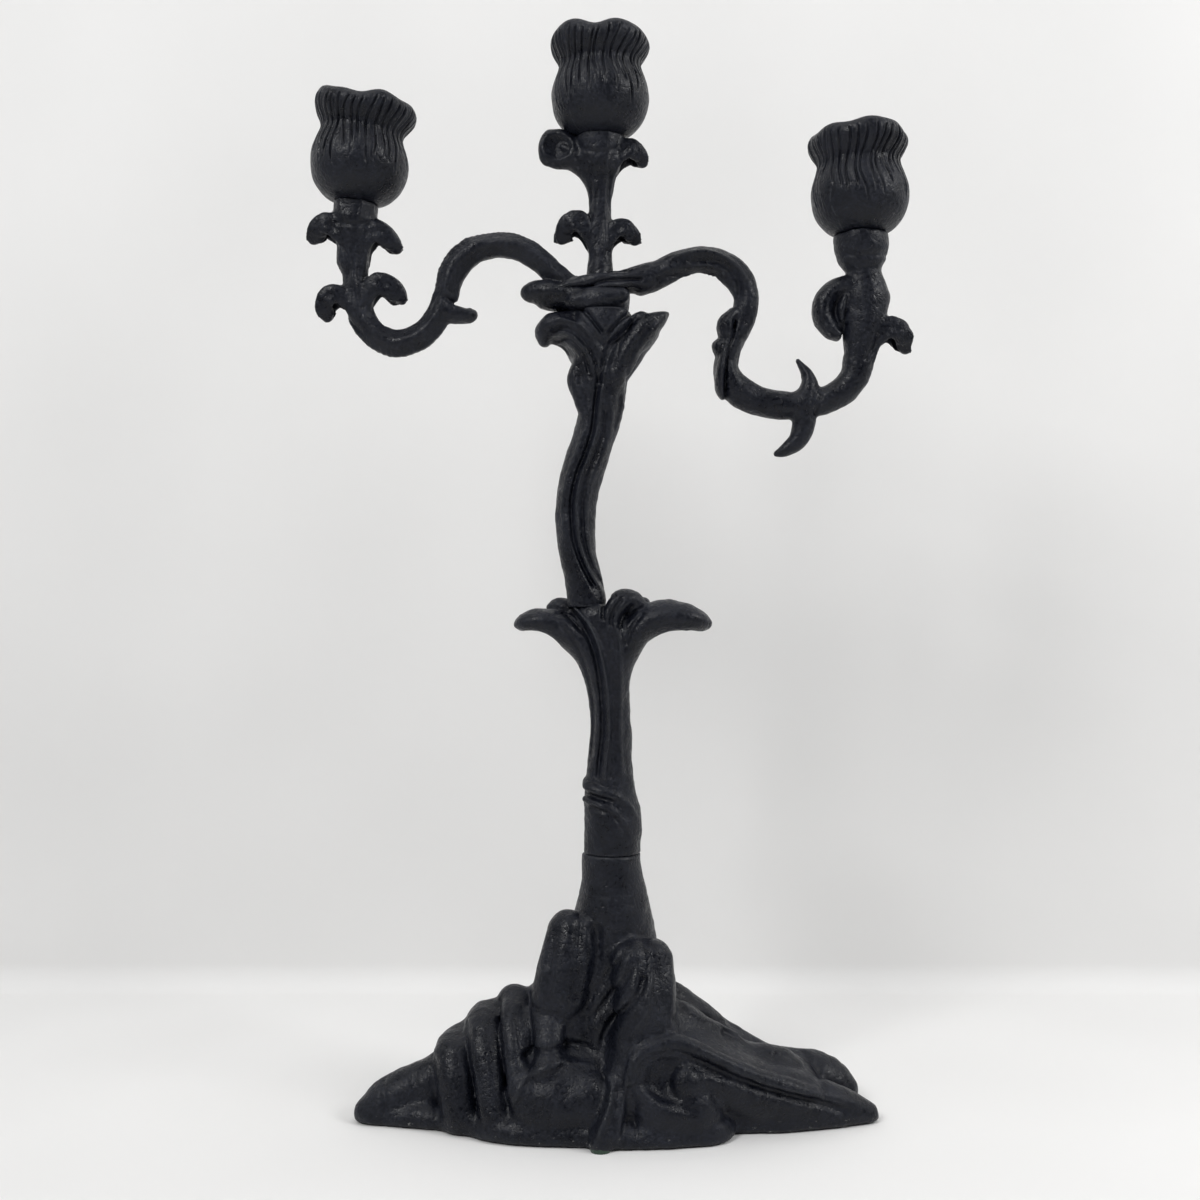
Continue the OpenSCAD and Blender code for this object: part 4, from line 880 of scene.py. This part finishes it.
def black_paint():
    """Satin black paint over sand-cast iron: fine grain, pits, worn edges that also carry a painted
    highlight, and chips near the floor.
    """
    if "black_paint_on_iron" in bpy.data.materials:
        return bpy.data.materials["black_paint_on_iron"]
    s = settings()
    mat, tree, shader = start_material("black_paint_on_iron")
    link = tree.links.new
    place = add(tree, "ShaderNodeTexCoord", -1500, 0)
    deep = tuple(s.paint_colour)
    light = tuple(min(1, v * 1.9 + 0.006) for v in deep)
    cloud = add(tree, "ShaderNodeTexNoise", -1200, 300, Scale=55.0, Detail=4.0, Roughness=0.6)
    link(place.outputs["Object"], cloud.inputs["Vector"])
    tone = ramp(tree, -950, 300, [(0.35, deep), (0.7, light)])
    link(cloud.outputs["Fac"], tone.inputs["Fac"])
    sand = add(tree, "ShaderNodeTexNoise", -1200, 0, Scale=750.0, Detail=2.0, Roughness=0.6)
    link(place.outputs["Object"], sand.inputs["Vector"])
    grain_tone = ramp(tree, -950, 0, [(0.42, (0.75, 0.75, 0.78)), (0.68, (1.6, 1.6, 1.6))])
    link(sand.outputs["Fac"], grain_tone.inputs["Fac"])
    tinted = mix(tree, -650, 250, "MULTIPLY")
    tinted.inputs[0].default_value = 0.8
    link(tone.outputs[0], tinted.inputs[6])
    link(grain_tone.outputs[0], tinted.inputs[7])
    # Edges lightened by how sharply the surface bends outwards: partly worn paint, partly a painted highlight
    # along the ridges.
    shape = add(tree, "ShaderNodeNewGeometry", -1200, -600)
    edge = ramp(tree, -950, -600, [(0.515, (0, 0, 0)), (0.58, (1, 1, 1))])
    link(shape.outputs["Pointiness"], edge.inputs["Fac"])
    rubbed_and_highlit = add(tree, "ShaderNodeMath", -700, -600)
    rubbed_and_highlit.operation = "MULTIPLY"
    link(edge.outputs[0], rubbed_and_highlit.inputs[0])
    rubbed_and_highlit.inputs[1].default_value = s.edge_wear_and_highlight
    edge_worn_and_highlit = mix(tree, -400, 200)
    link(rubbed_and_highlit.outputs[0], edge_worn_and_highlit.inputs[0])
    link(tinted.outputs[2], edge_worn_and_highlit.inputs[6])
    # This lighter edge colour is partly worn paint and partly a painted highlight on the ridges.
    edge_worn_and_highlit.inputs[7].default_value = (0.04, 0.043, 0.05, 1)
    # White chips of bare filler close to the floor.
    split = add(tree, "ShaderNodeSeparateXYZ", -1200, -850)
    link(place.outputs["Object"], split.inputs[0])
    low = add(tree, "ShaderNodeMapRange", -950, -850)
    low.inputs["From Min"].default_value = FOOT.z + 0.001
    low.inputs["From Max"].default_value = FOOT.z + 0.006
    low.inputs["To Min"].default_value = 1.0
    low.inputs["To Max"].default_value = 0.0
    link(split.outputs["Z"], low.inputs["Value"])
    flakes = add(tree, "ShaderNodeTexNoise", -1200, -1050, Scale=420.0, Detail=5.0, Roughness=0.7)
    link(place.outputs["Object"], flakes.inputs["Vector"])
    flake_band = ramp(tree, -950, -1050, [(0.62, (0, 0, 0)), (0.68, (1, 1, 1))])
    link(flakes.outputs["Fac"], flake_band.inputs["Fac"])
    chips = add(tree, "ShaderNodeMath", -650, -900)
    chips.operation = "MULTIPLY"
    link(low.outputs[0], chips.inputs[0])
    link(flake_band.outputs[0], chips.inputs[1])
    chipped = mix(tree, -100, 150)
    link(chips.outputs[0], chipped.inputs[0])
    link(edge_worn_and_highlit.outputs[2], chipped.inputs[6])
    chipped.inputs[7].default_value = (0.3, 0.3, 0.29, 1)
    link(chipped.outputs[2], shader.inputs["Base Color"])
    # Roughness varies with the paint's thickness.
    dull = add(tree, "ShaderNodeMapRange", -400, -150)
    dull.inputs["From Min"].default_value = 0.3
    dull.inputs["From Max"].default_value = 0.7
    dull.inputs["To Min"].default_value = s.paint_roughness - 0.07
    dull.inputs["To Max"].default_value = s.paint_roughness + 0.1
    link(cloud.outputs["Fac"], dull.inputs["Value"])
    sparkle = add(tree, "ShaderNodeMapRange", -400, -420)
    sparkle.inputs["From Min"].default_value = 0.35
    sparkle.inputs["From Max"].default_value = 0.65
    sparkle.inputs["To Min"].default_value = -0.12
    sparkle.inputs["To Max"].default_value = 0.14
    link(sand.outputs["Fac"], sparkle.inputs["Value"])
    shine = add(tree, "ShaderNodeMath", -150, -250)
    shine.operation = "ADD"
    link(dull.outputs[0], shine.inputs[0])
    link(sparkle.outputs[0], shine.inputs[1])
    link(shine.outputs[0], shader.inputs["Roughness"])
    shader.inputs["Specular IOR Level"].default_value = 0.25
    # Sand grain and pits in the casting.
    pits = add(tree, "ShaderNodeTexVoronoi", -1200, -300, Scale=420.0)
    link(place.outputs["Object"], pits.inputs["Vector"])
    pit_band = ramp(tree, -950, -300, [(0.05, (0, 0, 0)), (0.22, (1, 1, 1))])
    link(pits.outputs["Distance"], pit_band.inputs["Fac"])
    where = add(tree, "ShaderNodeTexNoise", -1200, -450, Scale=110.0, Detail=2.0)
    link(place.outputs["Object"], where.inputs["Vector"])
    pitted = ramp(tree, -950, -450, [(0.5, (1, 1, 1)), (0.62, (0, 0, 0))])
    link(where.outputs["Fac"], pitted.inputs["Fac"])
    pit_mask = mix(tree, -650, -350, "LIGHTEN")
    pit_mask.inputs[0].default_value = 1.0
    link(pit_band.outputs[0], pit_mask.inputs[6])
    link(pitted.outputs[0], pit_mask.inputs[7])
    grain_bump = add(tree, "ShaderNodeBump", 150, -250, Strength=s.grain_strength, Distance=0.0004)
    link(sand.outputs["Fac"], grain_bump.inputs["Height"])
    pit_bump = add(tree, "ShaderNodeBump", 350, -350, Strength=0.45, Distance=0.0005)
    link(pit_mask.outputs[2], pit_bump.inputs["Height"])
    link(grain_bump.outputs[0], pit_bump.inputs["Normal"])
    link(pit_bump.outputs[0], shader.inputs["Normal"])
    return mat


def plated_steel():
    """Dull zinc on the screws, washers, nut and rods, with fine turning marks."""
    mat, tree, shader = start_material("zinc_plated_steel")
    link = tree.links.new
    place = add(tree, "ShaderNodeTexCoord", -1000, 0)
    cloud = add(tree, "ShaderNodeTexNoise", -750, 150, Scale=600.0, Detail=3.0)
    link(place.outputs["Object"], cloud.inputs["Vector"])
    tone = ramp(tree, -500, 150, [(0.3, (0.3, 0.31, 0.33)), (0.7, (0.46, 0.47, 0.48))])
    link(cloud.outputs["Fac"], tone.inputs["Fac"])
    link(tone.outputs[0], shader.inputs["Base Color"])
    marks = add(tree, "ShaderNodeTexWave", -750, -200, Scale=2200.0, Distortion=3.0)
    marks.bands_direction = "Z"
    link(place.outputs["Object"], marks.inputs["Vector"])
    bump = add(tree, "ShaderNodeBump", 200, -200, Strength=0.15, Distance=0.0001)
    link(marks.outputs["Fac"], bump.inputs["Height"])
    link(bump.outputs[0], shader.inputs["Normal"])
    shader.inputs["Metallic"].default_value = 1.0
    shader.inputs["Roughness"].default_value = 0.42
    return mat


def pressed_felt():
    """Dark green felt with a short nap."""
    mat, tree, shader = start_material("pressed_felt")
    link = tree.links.new
    place = add(tree, "ShaderNodeTexCoord", -1000, 0)
    fibres = add(tree, "ShaderNodeTexNoise", -750, 0, Scale=2500.0, Detail=6.0, Distortion=1.5)
    link(place.outputs["Object"], fibres.inputs["Vector"])
    tone = ramp(tree, -500, 150, [(0.3, (0.012, 0.03, 0.018)), (0.7, (0.04, 0.075, 0.05))])
    link(fibres.outputs["Fac"], tone.inputs["Fac"])
    link(tone.outputs[0], shader.inputs["Base Color"])
    bump = add(tree, "ShaderNodeBump", 200, -200, Strength=0.6, Distance=0.0003)
    link(fibres.outputs["Fac"], bump.inputs["Height"])
    link(bump.outputs[0], shader.inputs["Normal"])
    shader.inputs["Roughness"].default_value = 0.95
    shader.inputs["Sheen Weight"].default_value = 0.3
    return mat


def pale_backdrop():
    """Pale paper, faintly clouded, that is clear when it is seen from behind."""
    if "pale_backdrop" in bpy.data.materials:
        return bpy.data.materials["pale_backdrop"]
    mat, tree, shader = start_material("pale_backdrop")
    link = tree.links.new
    place = add(tree, "ShaderNodeTexCoord", -800, 0)
    cloud = add(tree, "ShaderNodeTexNoise", -550, 0, Scale=6.0, Detail=1.0)
    link(place.outputs["Object"], cloud.inputs["Vector"])
    tone = ramp(tree, -300, 0, [(0.3, (0.78, 0.775, 0.765)), (0.7, (0.82, 0.815, 0.805))])
    link(cloud.outputs["Fac"], tone.inputs["Fac"])
    link(tone.outputs[0], shader.inputs["Base Color"])
    shader.inputs["Roughness"].default_value = 0.85
    side = add(tree, "ShaderNodeNewGeometry", 400, 300)
    clear = add(tree, "ShaderNodeBsdfTransparent", 600, -450)
    choice = add(tree, "ShaderNodeMixShader", 800, 200)
    link(side.outputs["Backfacing"], choice.inputs[0])
    link(shader.outputs[0], choice.inputs[1])
    link(clear.outputs[0], choice.inputs[2])
    out = next(node for node in tree.nodes if node.type == "OUTPUT_MATERIAL")
    link(choice.outputs[0], out.inputs[0])
    return mat


# ---- stage ----

def make_camera():
    """A level camera straight in front of the hub."""
    s = settings()
    data = bpy.data.cameras.new("camera")
    data.lens = s.lens
    data.sensor_width = 36
    data.clip_start = 0.01
    camera = bpy.data.objects.new("camera", data)
    camera.location = (FOOT.x - HUB_X / 1000, FOOT.y - s.camera_distance, FOOT.z + s.camera_height)
    camera.rotation_euler = (math.pi / 2, 0, 0)
    bpy.context.scene.collection.objects.link(camera)
    bpy.context.scene.camera = camera
    bpy.context.scene.view_settings.view_transform = "Standard"


def paper(name, line):
    """A wide sheet of pale paper that follows a line of y, z points over the floor."""
    points = [(x, y, FOOT.z + z) for y, z in line for x in (-2.5, 2.5)]
    faces = [(2 * i, 2 * i + 1, 2 * i + 3, 2 * i + 2) for i in range(len(line) - 1)]
    mesh = bpy.data.meshes.new(name)
    mesh.from_pydata(points, [], faces)
    mesh.shade_smooth()
    sheet = bpy.data.objects.new(name, mesh)
    bpy.context.scene.collection.objects.link(sheet)
    sheet.data.materials.append(pale_backdrop())


def make_backdrop():
    """A sheet that lies under the object and turns up behind it, and the table beyond."""
    s = settings()
    back, bend = FOOT.y + s.wall_gap, 0.014
    line = [(FOOT.y - 2.0, 0.0), (back - bend, 0.0)]
    line += [(back - bend + bend * math.sin(t), bend - bend * math.cos(t))
             for t in np.linspace(0, math.pi / 2, 13)[1:]]
    paper("backdrop", line + [(back, 2.2)])
    paper("table", [(back + 0.001, 0.0), (back + 2.5, 0.0)])


def soft_box(name, place, aim, size, power, colour=(1, 1, 1)):
    """A soft oblong lamp at place, turned towards aim."""
    data = bpy.data.lights.new(name, "AREA")
    data.shape = "RECTANGLE"
    data.size, data.size_y = size
    data.energy = power
    data.color = colour
    lamp = bpy.data.objects.new(name, data)
    lamp.location = FOOT + Vector(place)
    way = FOOT + Vector(aim) - lamp.location
    lamp.rotation_euler = way.to_track_quat("-Z", "Y").to_euler()
    bpy.context.scene.collection.objects.link(lamp)


def make_lights():
    """The soft boxes and the dim light of the room."""
    s = settings()
    soft_box("overhead", (0.05, -0.1, 1.4), (0, 0, 0), (1.2, 0.8), 4.4 * s.light)
    soft_box("key", (-0.75, -1.0, 1.2), (0, 0.1, 0.15), (0.5, 0.5), 12.5 * s.light)
    soft_box("wall", (1.0, -0.5, 0.9), (0.3, 0.2, 0.2), (0.5, 0.4), 7 * s.light)
    soft_box("left", (-1.2, -0.2, 0.7), (0, 0, 0.22), (0.4, 0.8), 1 * s.light, (0.95, 0.975, 1))
    soft_box("right", (1.3, -0.2, 0.8), (0, 0, 0.25), (0.3, 0.8), 1.4 * s.light, (0.95, 0.975, 1))
    world = bpy.data.worlds.new("studio")
    bpy.context.scene.world = world
    world.use_nodes = True
    # The room is dim, but what is seen past the sheet is as pale as the sheet.
    tree = world.node_tree
    tree.nodes.clear()
    room = add(tree, "ShaderNodeBackground", 0, 100, Color=(0.93, 0.95, 1, 1), Strength=s.fill_light)
    beyond = add(tree, "ShaderNodeBackground", 0, -100, Color=(0.72, 0.72, 0.71, 1), Strength=1.0)
    ray = add(tree, "ShaderNodeLightPath", 0, 400)
    choice = add(tree, "ShaderNodeMixShader", 250, 100)
    out = add(tree, "ShaderNodeOutputWorld", 450, 100)
    tree.links.new(ray.outputs["Is Camera Ray"], choice.inputs[0])
    tree.links.new(room.outputs[0], choice.inputs[1])
    tree.links.new(beyond.outputs[0], choice.inputs[2])
    tree.links.new(choice.outputs[0], out.inputs[0])


# ---- settings a user would change ----

class CandelabraSettings(bpy.types.PropertyGroup):
    """Sizes, colours and light of the candelabra."""
    base_grain: FloatProperty(name="Base fineness",
                              description="Grid of the clay for the base, in mm",
                              default=0.95, min=0.6, max=3)
    limb_grain: FloatProperty(name="Limb fineness",
                              description="Grid of the clay for the slim castings, in mm",
                              default=0.5, min=0.35, max=2)
    grooves: IntProperty(name="Grooves", description="Grooves round each cup", default=35, min=12, max=60)
    groove_depth: FloatProperty(name="Groove depth", description="Depth of a cup's grooves, in mm",
                                default=0.95, min=0, max=1.5)
    ruffle: FloatProperty(name="Ruffle", description="How strongly the lips wave", default=1.0, min=0, max=2)
    paint_colour: FloatVectorProperty(name="Paint", description="Colour of the black paint",
                                      default=(0.0022, 0.003, 0.0062), subtype="COLOR", min=0, max=1)
    paint_roughness: FloatProperty(name="Dullness", description="Roughness of the paint",
                                   default=0.39, min=0.1, max=0.9, subtype="FACTOR")
    grain_strength: FloatProperty(name="Sand grain", description="Strength of the sand-cast grain",
                                  default=0.9, min=0, max=1, subtype="FACTOR")
    # Edge wear sets how strongly the edges are lightened, partly as worn paint and partly as a painted
    # highlight.
    edge_wear_and_highlight: FloatProperty(name="Edge wear", description="How much the edges are rubbed",
                             default=0.5, min=0, max=1, subtype="FACTOR")
    lens: FloatProperty(name="Lens", description="Focal length", default=43.9, min=10, max=200, unit="CAMERA")
    camera_distance: FloatProperty(name="Camera distance", description="From the stem to the camera",
                                   default=0.6, min=0.2, max=5, unit="LENGTH")
    camera_height: FloatProperty(name="Camera height", description="Above the floor",
                                 default=0.2124, min=0, max=2, unit="LENGTH")
    wall_gap: FloatProperty(name="Wall distance", description="From the stem back to the wall",
                            default=0.2, min=0.1, max=2, unit="LENGTH")
    light: FloatProperty(name="Light", description="Strength of the soft boxes", default=1.0, min=0, max=5)
    fill_light: FloatProperty(name="Fill light", description="Strength of the light from all round",
                              default=0.12, min=0, max=3)


def make_cups():
    """Three cups. A lobe of a lip is its place and width in degrees and its height in mm."""
    sculpt_cup("left_candle_cup", "left_cup", "left_socket",
               [(205, 26, 1.1), (150, 24, -0.6), (268, 22, -1.0), (300, 20, 0.9), (345, 25, -0.4),
                (60, 28, 0.9),
                (110, 22, -0.5), (20, 20, 0.7)], 1, 0.055)
    sculpt_cup("centre_candle_cup", "centre_cup", "centre_socket",
               [(228, 24, 1.2), (262, 18, -0.8), (300, 22, 0.7), (335, 20, -0.8), (190, 22, -0.7),
                (30, 24, 0.9),
                (90, 28, -0.6), (140, 24, 0.8)], 2)
    sculpt_cup("right_candle_cup", "right_cup", "right_socket",
               [(285, 30, 1.1), (225, 24, 0.4), (190, 20, -1.0), (330, 20, -0.8), (10, 22, 0.6),
                (70, 24, -0.6),
                (130, 28, 0.9)], 3)


def finish_hardware():
    """Paint on the castings, zinc on the fastenings, felt on the pads."""
    steel, felt = plated_steel(), pressed_felt()
    for name, piece in frame["nodes"].items():
        if name == "felt_pads":
            finish = felt
        elif any(word in name for word in ("screw", "washer", "rod", "nut", "stud")):
            finish = steel
        else:
            finish = black_paint()
        piece.data.materials.clear()
        piece.data.materials.append(finish)


# ---- operators: one for each piece or group of like pieces ----

class CANDELABRA_OT_stage(bpy.types.Operator):
    """Makes the camera, the backdrop and the soft lights."""
    bl_idname = "candelabra.stage"
    bl_label = "Stage"

    def execute(self, context):
        make_camera()
        make_backdrop()
        make_lights()
        return {"FINISHED"}


class CANDELABRA_OT_base(bpy.types.Operator):
    """Sculpts the root-shaped base."""
    bl_idname = "candelabra.base"
    bl_label = "Base"

    def execute(self, context):
        sculpt_base()
        return {"FINISHED"}


class CANDELABRA_OT_trunk(bpy.types.Operator):
    """Sculpts the trunk with its collar of leaves."""
    bl_idname = "candelabra.trunk"
    bl_label = "Trunk"

    def execute(self, context):
        sculpt_trunk()
        return {"FINISHED"}


class CANDELABRA_OT_upper_stem(bpy.types.Operator):
    """Sculpts the slender stem and its calyx."""
    bl_idname = "candelabra.upper_stem"
    bl_label = "Upper stem"

    def execute(self, context):
        sculpt_upper_stem()
        return {"FINISHED"}


class CANDELABRA_OT_left_arm(bpy.types.Operator):
    """Sculpts the bevelled arm on the left."""
    bl_idname = "candelabra.left_arm"
    bl_label = "Left arm"

    def execute(self, context):
        sculpt_left_arm()
        return {"FINISHED"}


class CANDELABRA_OT_right_arm(bpy.types.Operator):
    """Sculpts the thorned arm on the right."""
    bl_idname = "candelabra.right_arm"
    bl_label = "Right arm"

    def execute(self, context):
        sculpt_right_arm()
        return {"FINISHED"}


class CANDELABRA_OT_centre_post(bpy.types.Operator):
    """Sculpts the post in the middle."""
    bl_idname = "candelabra.centre_post"
    bl_label = "Centre post"

    def execute(self, context):
        sculpt_centre_post()
        return {"FINISHED"}


class CANDELABRA_OT_cups(bpy.types.Operator):
    """Turns the three candle cups."""
    bl_idname = "candelabra.cups"
    bl_label = "Candle cups"

    def execute(self, context):
        make_cups()
        return {"FINISHED"}


class CANDELABRA_OT_hardware(bpy.types.Operator):
    """Gives every piece of the frame its finish, the fastenings and felt pads among them."""
    bl_idname = "candelabra.hardware"
    bl_label = "Fastenings"

    def execute(self, context):
        finish_hardware()
        return {"FINISHED"}


OPERATORS = [
    CANDELABRA_OT_stage,
    CANDELABRA_OT_base,
    CANDELABRA_OT_trunk,
    CANDELABRA_OT_upper_stem,
    CANDELABRA_OT_left_arm,
    CANDELABRA_OT_right_arm,
    CANDELABRA_OT_centre_post,
    CANDELABRA_OT_cups,
    CANDELABRA_OT_hardware,
]


class CANDELABRA_PT_panel(bpy.types.Panel):
    """Lists the candelabra's pieces and settings."""
    bl_label = "Candelabra"
    bl_idname = "CANDELABRA_PT_panel"
    bl_space_type = "VIEW_3D"
    bl_region_type = "UI"
    bl_category = "Candelabra"

    def draw(self, context):
        for operator in OPERATORS:
            self.layout.operator(operator.bl_idname)
        for name in CandelabraSettings.__annotations__:
            self.layout.prop(context.scene.candelabra, name)


CLASSES = [CandelabraSettings] + OPERATORS + [CANDELABRA_PT_panel]


def register():
    for cls in CLASSES:
        bpy.utils.register_class(cls)
    bpy.types.Scene.candelabra = PointerProperty(type=CandelabraSettings)


def unregister():
    del bpy.types.Scene.candelabra
    for cls in reversed(CLASSES):
        bpy.utils.unregister_class(cls)


def main():
    register()
    ops = bpy.ops.candelabra
    ops.stage()
    ops.base()
    ops.trunk()
    ops.upper_stem()
    ops.left_arm()
    ops.right_arm()
    ops.centre_post()
    ops.cups()
    ops.hardware()


if __name__ == "__main__":
    main()
